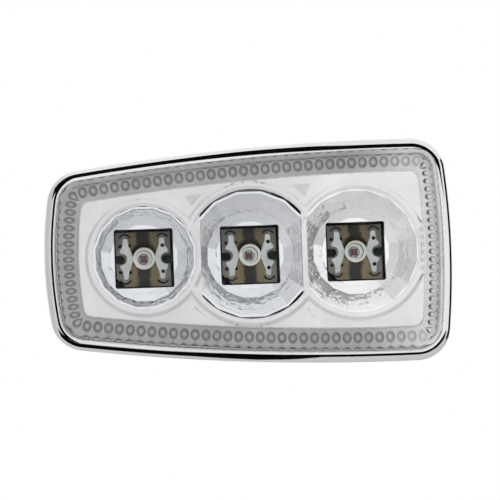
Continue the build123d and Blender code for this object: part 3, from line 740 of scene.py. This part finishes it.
def beaded_material(finishes):
    """Clear plastic, slightly frosted, with painted shade on the flanks round each bead, paler at the wide
    end as a painted reflection.
    """
    material = clear_material("beaded_acrylic", finishes.acrylic, ACRYLIC_IOR, rough=0.3)
    bench = NodeBench(material.node_tree)
    clear = bench.nodes["Principled BSDF"].inputs["Base Color"].links[0].from_socket
    flank_shade = bench.node("ShaderNodeAttribute", attribute_name="bead_flank").outputs["Fac"]
    # Painted shade on the bead flanks, paler towards the wide end as a painted reflection
    dull = bench.blend(bench.wide_share(18.0 * MM, 24.0 * MM), finishes.bead_flank, finishes.bead_flank_shade_wide_sheen)
    bench.surface({"Base Color": bench.blend(flank_shade, clear, dull)})
    return material


def plastic_material(name, base, rough, grain, relief, spread=0.2):
    """Moulded plastic, foam or lacquer with grain in its colour, gloss and relief."""
    material, bench = new_material(name)
    patches = bench.mottle(0.0, 1.0, patch=220.0, grain=grain, share=0.45)
    bench.surface({
        "Base Color": bench.uneven(base, 1.0 - spread, 1.0 + spread, patches["Value"]),
        "Roughness": bench.mottle(*rough, patch=300.0, grain=grain, share=0.5)["Value"],
    })
    bench.bump(patches["Grain"], relief, 0.6)
    return material


def metal_material(name, base, rough, metallic):
    """Stamped and plated metal, slightly dull."""
    material, bench = new_material(name)
    patches = bench.mottle(0.0, 1.0, patch=700.0, grain=6000.0, share=0.4)
    bench.surface({
        "Base Color": bench.uneven(base, 0.88, 1.1, patches["Value"]),
        "Roughness": bench.mottle(*rough, patch=900.0, grain=7000.0, share=0.4)["Value"],
        "Metallic": metallic,
    })
    return material


def led_back_material(finishes):
    """Dull back of an LED: dark in the middle, amber beside the frames, paler at its sides and darker towards
    the top, with a painted shadow of the dome just above its middle.

    Places are shares of the body's width, from its UV map.
    """
    material, bench = new_material("dull_epoxy")
    place = bench.split(bench.node("ShaderNodeUVMap").outputs["UV"])
    grain = bench.mottle(-0.05, 0.05, patch=900.0, grain=5000.0, share=0.5)["Value"]

    def soft(value, first, last):
        return bench.ramp(value, first, last, interpolation_type="SMOOTHSTEP")

    across = bench.maths("SUBTRACT", place["X"], 0.5)
    aside = bench.maths("ADD", bench.maths("ABSOLUTE", across), grain)
    tone = bench.blend(soft(aside, 0.08, 0.15), finishes.epoxy_back, finishes.epoxy_amber)
    tone = bench.blend(soft(aside, 0.22, 0.34), tone, finishes.epoxy_side)
    # Darker towards the top
    upper = soft(bench.maths("ADD", place["Y"], grain), 0.45, 0.85)
    tone = bench.blend(bench.maths("MULTIPLY", upper, 0.3), tone, finishes.shade)
    # Painted shadow of the dome: a dark patch round a point just above the middle
    up = bench.maths("SUBTRACT", place["Y"], 0.56)
    squares = [bench.maths("MULTIPLY", side, side) for side in (across, up)]
    dome_shadow_distance = bench.maths("SQRT", bench.maths("ADD", *squares))
    bench.surface({
        "Base Color": bench.blend(soft(dome_shadow_distance, 0.28, 0.19), tone, finishes.shade),
        "Roughness": bench.mottle(0.45, 0.7, patch=700.0, grain=5000.0, share=0.5)["Value"],
    })
    return material


def led_side_material(finishes):
    """Sides of an LED: from outside, dark as painted shade for the gap round the body; pale where they show
    through it.
    """
    material, bench = new_material("led_side")
    patches = bench.mottle(0.0, 1.0, patch=900.0, grain=5000.0, share=0.5)
    inside = bench.uneven(finishes.epoxy_side, 0.8, 1.0, patches["Value"])
    backfacing = bench.node("ShaderNodeNewGeometry").outputs["Backfacing"]
    bench.surface({
        # Painted shade: from outside, the sides take the dark colour of the gap round the body
        "Base Color": bench.blend(backfacing, finishes.shade, inside),
        "Roughness": bench.mottle(0.5, 0.75, patch=700.0, grain=5000.0, share=0.5)["Value"],
    })
    return material


def die_material(name, finishes, centre):
    """LED die: red-brown with a dark border."""
    material, bench = new_material(name)
    where = bench.node("ShaderNodeTexCoord").outputs["Object"]
    move = bench.node("ShaderNodeMapping", {"Vector": where, "Location": (-centre, 0.0, 0.0)})
    place = bench.split(move.outputs["Vector"])
    widest = bench.maths("MAXIMUM", *(bench.maths("ABSOLUTE", place[axis]) for axis in "XZ"))
    bench.surface({
        "Base Color": bench.blend(bench.ramp(widest, 0.09 * MM, 0.15 * MM), finishes.die, finishes.die_edge),
        "Roughness": bench.mottle(0.2, 0.4, patch=900.0, grain=9000.0, share=0.5)["Value"],
    })
    return material


def bead_tree(sizes, clear, beaded):
    """Geometry nodes: raises round beads on the band, from where round and across it each point lies, and
    stores a painted shade mask on the bead flanks.
    """
    tree, bench, given, result = node_group("Bead Band", "GeometryNodeTree", (
        ("Geometry", "INPUT", "Geometry"),
        ("Height", "INPUT", "Float", sizes.bead_height),
        ("Half Along", "INPUT", "Float", sizes.bead_along / sizes.bead_pitch),
        ("Half Across", "INPUT", "Float", 0.4),
        ("Geometry", "OUTPUT", "Geometry"),
    ))
    tree.is_modifier = True
    turn, across = (
        bench.node("GeometryNodeInputNamedAttribute", {"Name": name}, data_type="FLOAT").outputs["Attribute"]
        for name in ("bead_turn", "band_share"))
    maths = bench.maths
    along = maths("DIVIDE", maths("SUBTRACT", maths("FRACT", turn), 0.5), given["Half Along"])
    aside = maths("DIVIDE", maths("SUBTRACT", across, 0.5), given["Half Across"])
    spread = maths("ADD", maths("MULTIPLY", along, along), maths("MULTIPLY", aside, aside))
    inside = maths("MAXIMUM", maths("SUBTRACT", 1.0, spread), 0.0)
    rise = maths("MULTIPLY", maths("POWER", inside, 1.3), given["Height"])
    # Painted shade: a mask that peaks half way down the flanks of each bead
    flank_shade = maths("MULTIPLY", maths("MULTIPLY", inside, 4.0), maths("SUBTRACT", 1.0, inside))
    on_band = maths("GREATER_THAN", across, OFF_BAND / 2)
    lift = bench.node("ShaderNodeVectorMath", operation="SCALE", inputs={
        0: (0.0, 1.0, 0.0), "Scale": maths("MULTIPLY", rise, on_band)})
    mark = bench.node("GeometryNodeStoreNamedAttribute", data_type="FLOAT", domain="POINT", inputs={
        "Geometry": given["Geometry"], "Name": "bead_flank", "Value": maths("MULTIPLY", flank_shade, on_band)})
    last = mark
    for kind, inputs in (
            ("GeometryNodeSetPosition", {"Offset": lift.outputs["Vector"]}),
            ("GeometryNodeRealizeInstances", {}),
            ("GeometryNodeSetMaterial", {"Material": clear}),
            ("GeometryNodeSetMaterial", {"Material": beaded, "Selection": on_band})):
        last = bench.node(kind, {"Geometry": last.outputs["Geometry"], **inputs})
    bench.put(result["Geometry"], last.outputs["Geometry"])
    return tree


def set_input(modifier, name, value):
    """Sets an input of a geometry nodes modifier by its socket's identifier."""
    for item in modifier.node_group.interface.items_tree:
        if item.item_type == "SOCKET" and item.in_out == "INPUT" and item.name == name:
            modifier[item.identifier] = value


def bead_counter(path, sizes):
    """Function that counts the beads before a point (x, z), square to a path round the band."""
    pairs = list(loop_edges(path))
    steps = [hypot(b[0] - a[0], b[1] - a[1]) for a, b in pairs]
    pitches = [sizes.bead_pitch + (sizes.end_pitch - sizes.bead_pitch) * ((b[1] - a[1]) / step) ** 2
               for (a, b), step in zip(pairs, steps)]
    so_far = [0.0, *accumulate(step / pitch for step, pitch in zip(steps, pitches))]
    whole = round(so_far[-1]) / so_far[-1]
    tree = kdtree.KDTree(len(path))
    for i, (u, v) in enumerate(path):
        tree.insert((u, v, 0.0), i)
    tree.balance()

    def beads_before(u, v):
        near, i, _ = tree.find((u, v, 0.0))
        before, after = path[i - 1], path[(i + 1) % len(path)]
        along = Vector((after[0] - before[0], after[1] - before[1])).normalized()
        shift = along.dot(Vector((u - near.x, v - near.y)))
        return (so_far[i] + shift / pitches[i]) * whole

    return beads_before


class LAMP_OT_make_lens(bpy.types.Operator):
    """Makes the clear lens with its band of beads"""
    bl_idname = "lamp.make_lens"
    bl_label = "Make lens"

    def execute(self, context):
        scene = context.scene
        outline, sizes, finishes = scene.lamp_outline, scene.lamp_lens, scene.lamp_finishes
        inside = sizes.edge + sizes.skirt
        window = sizes.edge + sizes.band_width
        middle = (inside + window) / 2
        rough_count = BAND_ROUND / sizes.bead_pitch
        counts = border_counts(outline, middle, sizes.stretch / 2, round(rough_count * sizes.steps))
        beads_before = bead_counter(border(outline, middle, sizes.stretch / 2, counts), sizes)
        outer_rows, inner_rows = self.make_rows(sizes, inside, window)
        bm = bmesh.new()
        turn_layer = bm.verts.layers.float.new("bead_turn")
        share_layer = bm.verts.layers.float.new("band_share")
        rings = []
        for inset, level, stretch, part in outer_rows + inner_rows:
            points = border(outline, inset, stretch, counts)
            ring = ring_verts(bm, points, level)
            for vert, point in zip(ring, points):
                vert[turn_layer] = beads_before(*point)
                vert[share_layer] = part
            rings.append(ring)
        outer = len(outer_rows)
        capped(bm, rings[outer:] + rings[:outer])
        clear = clear_material("clear_acrylic", finishes.acrylic, ACRYLIC_IOR, rough=0.012)
        beaded = beaded_material(finishes)
        piece = finish_mesh(bm, "clear_lens", clear, beaded)
        modifier = piece.modifiers.new("Bead Band", "NODES")
        modifier.node_group = bead_tree(sizes, clear, beaded)
        set_input(modifier, "Height", sizes.bead_height)
        set_input(modifier, "Half Along", sizes.bead_along / sizes.bead_pitch)
        set_input(modifier, "Half Across", sizes.bead_across / (window - inside))
        bake_modifiers(piece)
        piece.data.set_sharp_from_angle(angle=LENS_CREASE)
        add_piece(piece, ("lens",))
        return {"FINISHED"}

    def make_rows(self, sizes, inside, window):
        """Rows (inset, level, stretch, band share): the outside from its foot, and the inside back to it."""
        radius = sizes.edge_round
        window_level = sizes.crown - sizes.wall
        outer = [(sizes.edge, sizes.foot)]
        outer += round_points(sizes.edge + radius, sizes.crown - radius, radius, 0.0, 90.0, EDGE_STEPS)
        outer.append((sizes.edge + radius + sizes.hold, sizes.crown))
        inner = [(window + sizes.hold, window_level, sizes.stretch, OFF_BAND),
                 (window, window_level, sizes.stretch, OFF_BAND)]
        for i in range(BAND_ROWS + 1):
            part = 1.0 - i / BAND_ROWS
            inset = inside + (window - inside) * part
            inner.append((inset, window_level - sizes.band_step, sizes.stretch * part, part))
        inner.append((inside, sizes.foot, 0.0, OFF_BAND))
        return [(inset, level, 0.0, OFF_BAND) for inset, level in outer], inner


class LAMP_OT_make_rim(bpy.types.Operator):
    """Makes the bright skin of the rim, over the moulded housing"""
    bl_idname = "lamp.make_rim"
    bl_label = "Make rim"

    def execute(self, context):
        scene = context.scene
        outline, sizes, finishes = scene.lamp_outline, scene.lamp_front, scene.lamp_finishes
        skin, foot, top = sizes.rim_skin, sizes.rim_foot, sizes.rim_top + sizes.rim_skin
        outer, inner = sizes.rim_round + skin, sizes.rim_bevel
        width = sizes.rim_width + 2 * skin
        profile = [(RIM_CHAMFER, foot), (0.0, foot + RIM_CHAMFER)]
        profile += round_points(outer, top - outer, outer, 0.0, 90.0, RIM_ROUND_STEPS)
        profile += round_points(width - inner, top - inner, inner, 90.0, 180.0, RIM_BEVEL_STEPS)
        profile += [(width, foot + RIM_INNER_FOOT), (width - RIM_TUCK, foot + RIM_TUCK_FOOT)]
        counts = border_counts(outline, 0.0, 0.0, RIM_STEPS)
        bm = bmesh.new()
        sweep(bm, [ring_verts(bm, border(outline, inset - skin, 0.0, counts), level)
                   for inset, level in profile], closed=True)
        plating = plated_material("rim_plating", finishes.rim, finishes.rim, rough=(0.03, 0.08),
                                  ripple=0.001 * MM)
        add_piece(finish_mesh(bm, "rim_plating", plating))
        return {"FINISHED"}


def led_centre(name):
    low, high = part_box(f"led_{name}_body")
    return (low.x + high.x) / 2


def lip_rise(part):
    """Height of a lip, as a share of its crest's, from its hole (0) to its outer edge (1)."""
    if part > 0.5:
        return 0.5 * (1 + cos(pi * (2 * part - 1)))
    return LIP_EDGE + (1.0 - LIP_EDGE) * sin(pi * part)


class LAMP_OT_make_plate(bpy.types.Operator):
    """Makes the bright plate with a rounded lip round each of its holes"""
    bl_idname = "lamp.make_plate"
    bl_label = "Make plate"

    def execute(self, context):
        scene = context.scene
        outline, sizes, finishes = scene.lamp_outline, scene.lamp_front, scene.lamp_finishes
        stretch = scene.lamp_lens.stretch
        plating = plated_material("plate_plating", finishes.plate, finishes.plate_wide_sheen, rough=(0.14, 0.22),
                                  ripple=0.006 * MM)
        counts = border_counts(outline, sizes.plate_edge, stretch, PLATE_STEPS)

        def make_body(name, profile):
            bm = bmesh.new()
            capped(bm, [ring_verts(bm, border(outline, inset, stretch, counts), level)
                        for inset, level in profile])
            return finish_mesh(bm, name, plating)

        front, edge, radius = sizes.plate_front, sizes.plate_edge, sizes.plate_round
        profile = [(edge + sizes.plate_skirt, sizes.plate_back), (edge + sizes.plate_skirt, sizes.plate_foot),
                   (edge, sizes.plate_foot)]
        profile += round_points(edge + radius, front - radius, radius, 0.0, 90.0, PLATE_ROUND_STEPS)
        plate = make_body("bezel_front", profile)
        half_widths = (sizes.narrow_bowl + sizes.narrow_gap, sizes.middle_bowl + sizes.middle_gap,
                       sizes.wide_bowl + sizes.wide_gap)
        holes = [(led_centre(name), half) for name, half in zip(LED_NAMES, half_widths)]
        lips = self.make_lips(holes, sizes, plating)
        slope = make_body("limit", [(edge + radius + SLOPE_RUN * rise, front + rise) for rise in SLOPE_RISES])
        combine(lips, slope, "INTERSECT")
        combine(plate, lips, "UNION")
        self.cut_holes(plate, holes, sizes, plating)
        self.cut_pockets(plate, front, plating)
        weld(plate, WELD_GAP)
        plate.data.shade_smooth()
        plate.data.set_sharp_from_angle(angle=PLATE_CREASE)
        add_piece(plate, ("bezel_plate",))
        return {"FINISHED"}

    def make_lips(self, holes, sizes, plating):
        """Lips round the holes, in one body."""
        front = sizes.plate_front
        lips = None
        for x, half in holes:
            inner = half - LIP_OVERLAP
            profile = [(inner, front - LIP_SINK)]
            for i in range(LIP_STEPS + 1):
                part = i / LIP_STEPS
                profile.append((inner + (sizes.lip_width + LIP_OVERLAP) * part,
                                front - LIP_DIP + sizes.lip_height * lip_rise(part)))
            profile.append((inner + sizes.lip_width + LIP_OVERLAP, front - LIP_SINK))
            bm = bmesh.new()
            lathe(bm, x, profile, HOLE_STEPS, closed=True)
            lip = finish_mesh(bm, "lip", plating)
            if lips is None:
                lips = lip
            else:
                combine(lips, lip, "UNION")
        return lips

    def cut_holes(self, plate, holes, sizes, plating):
        """Cuts the round holes, which stop at the bars between them."""
        front = sizes.plate_front
        bars = [(a[0] + b[0]) / 2 for a, b in zip(holes, holes[1:])]
        lefts = [-UNCUT, *(bar + sizes.web / 2 for bar in bars)]
        rights = [*(bar - sizes.web / 2 for bar in bars), UNCUT]
        for (x, half), left, right in zip(holes, lefts, rights):
            bm = bmesh.new()
            loop = clipped_circle(x, half, left, right, HOLE_STEPS)
            prism(bm, loop, front - HOLE_REACH, front + HOLE_REACH)
            bmesh.ops.remove_doubles(bm, verts=bm.verts, dist=DOUBLES)
            combine(plate, finish_mesh(bm, "hole", plating), "DIFFERENCE")

    def cut_pockets(self, plate, front, plating):
        """Cuts the three-sided pockets above and below the bars."""
        for pocket in PLATE_POCKETS:
            for up in (-1, 1):
                bm = bmesh.new()
                floor = [bm.verts.new((u * MM, deep * MM - front, up * v * MM)) for u, v, deep in pocket]
                roof = ring_verts(bm, [(u * MM, up * v * MM) for u, v, _ in pocket], front + POCKET_REACH)
                capped(bm, (floor, roof))
                combine(plate, finish_mesh(bm, "pocket", plating), "DIFFERENCE")


def led_outline(sizes, inset):
    """Square with one cut corner and a round-ended notch in either side."""
    half, notch, cut = sizes.size / 2 - inset, sizes.notch_width / 2, sizes.cut_corner
    end = sizes.size / 2 - sizes.notch_depth + notch
    right = [(end + notch * cos(t), notch * sin(t)) for t in turns(270.0, 90.0, NOTCH_STEPS)]
    left = [(-u, -v) for u, v in right]
    return [(half, -half), (half, -notch), *right, (half, notch), (half, half), (-half, half), (-half, notch),
            *left, (-half, -notch), (-half, -half + cut), (-half + cut, -half)]


def frame_outline(side, radius):
    """One half of a lead frame, left (-1) or right (1)."""
    upper = FRAME_INNER + FRAME_OUTER
    points = upper + tuple((u, -v) for u, v in reversed(upper[1:-1]))
    return rounded([(side * u * MM, v * MM) for u, v in points], radius)


class LAMP_OT_make_leds(bpy.types.Operator):
    """Makes the three LEDs: clear bodies with their domes, and the lead frames inside"""
    bl_idname = "lamp.make_leds"
    bl_label = "Make LEDs"

    def execute(self, context):
        sizes, finishes = context.scene.lamp_led, context.scene.lamp_finishes
        body = (clear_material("clear_epoxy", finishes.epoxy, EPOXY_IOR, rough=0.02),
                led_back_material(finishes), led_side_material(finishes))
        frames = (metal_material("silver_frame", finishes.silver, rough=(0.25, 0.42), metallic=0.6),
                  plastic_material("frame_shade", finishes.shade, rough=(0.5, 0.7), grain=6000.0,
                                   relief=0.002 * MM),
                  metal_material("cup_brim_and_highlight", finishes.cream_and_highlight, rough=(0.25, 0.4), metallic=0.8))
        for name in LED_NAMES:
            x = led_centre(name)
            front = sizes.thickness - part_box(f"led_{name}_body")[1].y
            self.make_body(name, x, front, sizes, body)
            self.make_frames(name, x, front, sizes, frames)
            dress(f"led_{name}_chip", die_material(f"die_{name}", finishes, x))
        return {"FINISHED"}

    def make_body(self, name, x, front, sizes, materials):
        """Clear part with its dome, on a dull back, with sides that are dark from outside as painted shade
        for the gap round the body.
        """
        bm = bmesh.new()
        rings = []
        for level, part in ((front - sizes.clear, 1.0 - sizes.clear / sizes.thickness), (front, 1.0)):
            lean = sizes.lean * part
            outline = [(x + u - lean, v - lean) for u, v in led_outline(sizes, sizes.draft * part)]
            rings.append(ring_verts(bm, outline, level))
        # Sides: dark from outside, as painted shade for the gap round the body
        join_rings(bm, *rings, SIDES)
        back = front - sizes.clear - sizes.cup_rise
        prism(bm, led_outline(sizes, 0.0), front - sizes.thickness, back, x, material=SIDES)
        bm.faces.new(rings[0]).material_index = DULL
        crown = front + sizes.dome_neck
        dome = [(sizes.dome * cos(t), crown + sizes.dome * sin(t)) for t in turns(0.0, 90.0, DOME_STEPS)[:-1]]
        dome = [(sizes.dome, front), *dome, (0.0, crown + sizes.dome)]
        foot = lathe(bm, x, dome, LED_SIDES, CLEAR)[0]
        edges = [bm.edges.get(pair) for ring in (rings[1], foot) for pair in loop_edges(ring)]
        bmesh.ops.triangle_fill(bm, use_beauty=True, edges=edges)
        layer = bm.loops.layers.uv.new("LED")
        for face in bm.faces:
            for loop in face.loops:
                place = loop.vert.co
                loop[layer].uv = (0.5 + (place.x - x) / sizes.size, 0.5 + place.z / sizes.size)
        add_piece(finish_mesh(bm, f"led_{name}_epoxy", *materials), (f"led_{name}_body",))

    def make_frames(self, name, x, front, sizes, materials):
        """Cathode with its cup on the left, and anode on the right, each with two pins."""
        top = front - sizes.frame_depth
        low = top - sizes.frame_thickness
        middle = (top + low) / 2
        pin, half, pad = sizes.pin_pitch / 2, sizes.pin / 2, sizes.pad_height
        for side, part in ((-1, "cathode"), (1, "anode")):
            node = f"led_{name}_{part}"
            tail = -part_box(node)[1].y
            bm = bmesh.new()
            holes = []
            dark = []
            if side > 0:
                holes = [circle(pin, v, sizes.pad_hole, PAD_HOLE_SIDES) for v in (-pad, pad)]
                # Painted shade: dark discs under the pad holes
                dark = [circle(pin, v, sizes.pad_hole * HOLE_SHADE_SHARE, PAD_HOLE_SIDES) for v in (-pad, pad)]
            prism(bm, frame_outline(side, sizes.frame_round), low, top, x, holes, SILVER)
            for up in (-1, 1):
                square = [(side * pin + a * half, up * pin + b * half)
                          for a, b in ((-1, -1), (1, -1), (1, 1), (-1, 1))]
                prism(bm, square, tail, low + PIN_OVERLAP, x, material=SILVER)
                # Thin dark arc behind the pad
                hook = arc_strip(side * pin, pin, sizes.dark_hook, sizes.dark_hook_width,
                                 turns(HOOK_FIRST, HOOK_LAST, HOOK_STEPS))
                dark.append([(u, up * v) for u, v in hook])
                if side < 0:
                    # Flat dark discs to either side of each pad of the cathode
                    dark += [circle(-pin + aside, up * pad, sizes.dark_spot, DARK_SPOT_SIDES)
                             for aside in (-DARK_SPOT_ASIDE, DARK_SPOT_ASIDE)]
            for loop in dark:
                prism(bm, loop, low, middle, x, material=SHADE)
            if side < 0:
                self.make_cup(bm, x, front, sizes)
            add_piece(finish_mesh(bm, f"led_{name}_{part}_frame", *materials), (node,))

    def make_cup(self, bm, x, front, sizes):
        """Neck and cup: a pale brim, partly a painted highlight, and a bright wall with a ring of painted
        shade half way down to a floor with a fine ridge.
        """
        top = front - sizes.frame_depth
        low = top - sizes.frame_thickness
        neck = [(NECK_REACH, -NECK_HALF), (-sizes.cup_mouth, -NECK_HALF), (-sizes.cup_mouth, NECK_HALF),
                (NECK_REACH, NECK_HALF)]
        prism(bm, neck, low + NECK_SKIN, top - NECK_SKIN, x, material=SILVER)
        brim, floor = front - sizes.cup_rise, top - sizes.cup_depth
        waist, shaded_groove = sizes.cup_waist, sizes.cup_shaded_groove
        step = (brim + floor) / 2
        ridge, rise = sizes.cup_ridge, sizes.cup_ridge_height
        for material, *profile in (
                (SILVER, (0.0, low), (sizes.cup, low), (sizes.cup, brim)),
                # Partly a painted highlight: the bright brim under the dome
                (CREAM_AND_HIGHLIGHT, (sizes.cup, brim), (sizes.cup_mouth, brim)),
                (SILVER, (sizes.cup_mouth, brim), (waist, step)),
                # Painted shade: a flat dark ring half way down the cup
                (SHADE, (waist, step), (waist - shaded_groove, step)),
                (SILVER, (waist - shaded_groove, step), (sizes.cup_floor, floor), (ridge + rise, floor),
                 (ridge, floor + rise), (ridge - rise, floor), (0.0, floor))):
            lathe(bm, x, profile, LED_SIDES, material)
        bmesh.ops.remove_doubles(bm, verts=bm.verts, dist=DOUBLES)


class LAMP_OT_dress_moulding(bpy.types.Operator):
    """Gives the housing, reflector and seal their finishes"""
    bl_idname = "lamp.dress_moulding"
    bl_label = "Dress moulding"

    def execute(self, context):
        finishes = context.scene.lamp_finishes
        dress("housing", moulding_material("dark_moulding", finishes))
        dress("reflector", plated_material("bowl_plating", finishes.bowl, finishes.bowl_wide_sheen,
                                           rough=(0.02, 0.06), ripple=0.03 * MM, unplated=finishes.unplated))
        dress("wing_seal", plastic_material("seal_foam", finishes.foam, rough=(0.8, 0.95), grain=1800.0,
                                            relief=0.08 * MM))
        return {"FINISHED"}


class LAMP_OT_dress_board(bpy.types.Operator):
    """Gives the circuit board, its parts and the wedge base their finishes"""
    bl_idname = "lamp.dress_board"
    bl_label = "Dress board"

    def execute(self, context):
        finishes = context.scene.lamp_finishes
        dress("circuit_board", plastic_material("board_lacquer", finishes.board, rough=(0.25, 0.4),
                                                grain=900.0, relief=0.01 * MM))
        dress("wedge_base", plastic_material("wedge_nylon", finishes.nylon, rough=(0.4, 0.55), grain=2500.0,
                                             relief=0.015 * MM))
        tin = metal_material("tinned_contact", finishes.tin, rough=(0.3, 0.5), metallic=1.0)
        chip = plastic_material("chip_part", finishes.chip, rough=(0.35, 0.55), grain=4000.0,
                                relief=0.006 * MM)
        for node in ("wedge_contact_upper", "wedge_contact_lower"):
            dress(node, tin)
        for node in ("resistor_upper", "resistor_lower", "diode"):
            dress(node, chip)
        return {"FINISHED"}


def black_flag(name, points, finishes):
    """Black card from rows of points; only reflections show it."""
    bm = bmesh.new()
    rows = [[bm.verts.new(p) for p in row] for row in points]
    for first, second in zip(rows, rows[1:]):
        for i in range(len(first) - 1):
            bm.faces.new((first[i], first[i + 1], second[i + 1], second[i]))
    material, bench = new_material(name)
    patches = bench.mottle(0.0, 1.0, patch=40.0, grain=400.0, share=0.3)
    bench.surface({
        "Base Color": bench.blend(patches["Value"], finishes.flag_low, finishes.flag_high),
        "Roughness": 1.0,
        "Specular IOR Level": 0.0,
    })
    card = finish_mesh(bm, name, material)
    card.visible_camera = False
    card.visible_diffuse = False
    card.visible_transmission = False
    card.visible_shadow = False
    card.visible_volume_scatter = False


class LAMP_OT_make_stage(bpy.types.Operator):
    """Sets up the floor, the studio light, the flags and the camera"""
    bl_idname = "lamp.make_stage"
    bl_label = "Make stage"

    def execute(self, context):
        scene = context.scene
        sizes, finishes = scene.lamp_stage, scene.lamp_finishes
        scene.view_settings.view_transform = "Standard"
        self.make_world(scene, sizes)
        self.make_floor(sizes, finishes)
        self.make_light(scene, sizes)
        self.make_flags(sizes, finishes)
        self.make_camera(scene, sizes)
        return {"FINISHED"}

    def make_world(self, scene, sizes):
        """White studio to the camera, dimmer towards the narrow end in reflections, and a plain light."""
        world = bpy.data.worlds.new("studio")
        scene.world = world
        world.use_nodes = True
        bench = NodeBench(world.node_tree)
        white = (1.0, 1.0, 1.0)
        plain = bench.node("ShaderNodeBackground", {"Color": white, "Strength": sizes.ambient})
        ray = bench.node("ShaderNodeLightPath").outputs
        bent = bench.maths("MAXIMUM", ray["Is Transmission Ray"], ray["Is Glossy Ray"])
        either = bench.maths("MAXIMUM", ray["Is Camera Ray"], bent)
        way = bench.split(bench.node("ShaderNodeTexCoord").outputs["Generated"])
        first, last = WORLD_FALL
        fall = bench.node("ShaderNodeMapRange", {
            "Value": way["X"], "From Min": first, "From Max": last, "To Min": sizes.narrow_side})
        seen = bench.nodes["Background"]
        bench.put(seen.inputs["Color"], white)
        bench.put(seen.inputs["Strength"], bench.mix(bent, 1.0, fall.outputs["Result"]))
        both = bench.node("ShaderNodeMixShader", {
            "Fac": either, 1: plain.outputs["Background"], 2: seen.outputs["Background"]})
        bench.put(bench.nodes["World Output"].inputs["Surface"], both.outputs["Shader"])

    def make_floor(self, sizes, finishes):
        bm = bmesh.new()
        points = circle(0.0, 0.0, sizes.floor_size, FLOOR_SIDES)
        bm.faces.new([bm.verts.new((u, v, sizes.floor_level)) for u, v in points])
        floor = finish_mesh(bm, "studio_floor", plastic_material(
            "studio_floor", finishes.floor, rough=(0.7, 0.85), grain=60.0, relief=0.0, spread=0.02))

    def make_light(self, scene, sizes):
        lamp = bpy.data.lights.new("soft_key", "AREA")
        lamp.shape = "RECTANGLE"
        lamp.size, lamp.size_y = sizes.key_width, sizes.key_height
        lamp.energy = sizes.key_power
        key = bpy.data.objects.new("soft_key", lamp)
        key.location = sizes.key_place
        key.rotation_mode = "QUATERNION"
        key.rotation_quaternion = (-key.location).to_track_quat("-Z", "Y")
        key.visible_glossy = False
        key.visible_transmission = False
        scene.collection.objects.link(key)

    def make_flags(self, sizes, finishes):
        """Flags above, below and past either end of the lamp, on arcs about the rim's crest."""
        reach = sizes.flag_distance
        end, crest, long_side = FLAG_AXIS
        for side, places, name in ((1, TOP_FLAG, "flag_top"), (-1, BOTTOM_FLAG, "flag_bottom")):
            rows = [[(x * MM, crest - reach * cos(t), side * (long_side + reach * sin(t)))
                     for t in turns(first, last, FLAG_STEPS)] for x, first, last in places]
            black_flag(name, rows, finishes)
        for side, first, last, name in END_FLAGS:
            rows = [[(side * (end + reach * sin(t)), crest - reach * cos(t), z) for z in END_FLAG_HEIGHTS]
                    for t in turns(first, last, FLAG_STEPS)]
            black_flag(name, rows, finishes)

    def make_camera(self, scene, sizes):
        a, e = sizes.azimuth, sizes.elevation
        back = Vector((sin(a) * cos(e), -cos(a) * cos(e), sin(e)))
        data = bpy.data.cameras.new("camera")
        data.sensor_width = 36.0
        data.lens = data.sensor_width * sizes.distance / sizes.view_width
        data.shift_x, data.shift_y = sizes.shift_x, sizes.shift_y
        data.clip_start, data.clip_end = CLIP_START, CLIP_END
        camera = bpy.data.objects.new("camera", data)
        camera.location = AIM + back * sizes.distance
        camera.rotation_mode = "QUATERNION"
        roll = Quaternion((0.0, 0.0, 1.0), -sizes.roll)
        camera.rotation_quaternion = (-back).to_track_quat("-Z", "Y") @ roll
        scene.collection.objects.link(camera)
        scene.camera = camera


OPERATORS = (LAMP_OT_make_lens, LAMP_OT_make_rim, LAMP_OT_make_plate, LAMP_OT_make_leds,
             LAMP_OT_dress_moulding, LAMP_OT_dress_board, LAMP_OT_make_stage)
SETTINGS = {
    "lamp_outline": LampOutlineSizes,
    "lamp_lens": LampLensSizes,
    "lamp_front": LampFrontSizes,
    "lamp_led": LampLedSizes,
    "lamp_finishes": LampFinishes,
    "lamp_stage": LampStageSizes,
}


class LAMP_PT_sidebar(bpy.types.Panel):
    """Lists the steps that dress the lamp"""
    bl_label = "Side repeater lamp"
    bl_idname = "LAMP_PT_sidebar"
    bl_space_type = "VIEW_3D"
    bl_region_type = "UI"
    bl_category = "Lamp"

    def draw(self, context):
        for operator in OPERATORS:
            self.layout.operator(operator.bl_idname)


def register():
    for name, group in SETTINGS.items():
        bpy.utils.register_class(group)
        setattr(bpy.types.Scene, name, PointerProperty(type=group))
    for operator in OPERATORS:
        bpy.utils.register_class(operator)
    bpy.utils.register_class(LAMP_PT_sidebar)


def unregister():
    bpy.utils.unregister_class(LAMP_PT_sidebar)
    for operator in reversed(OPERATORS):
        bpy.utils.unregister_class(operator)
    for name, group in reversed(SETTINGS.items()):
        delattr(bpy.types.Scene, name)
        bpy.utils.unregister_class(group)


def main():
    register()
    bpy.ops.lamp.make_lens()
    bpy.ops.lamp.make_rim()
    bpy.ops.lamp.make_plate()
    bpy.ops.lamp.make_leds()
    bpy.ops.lamp.dress_moulding()
    bpy.ops.lamp.dress_board()
    bpy.ops.lamp.make_stage()


if __name__ == "__main__":
    main()
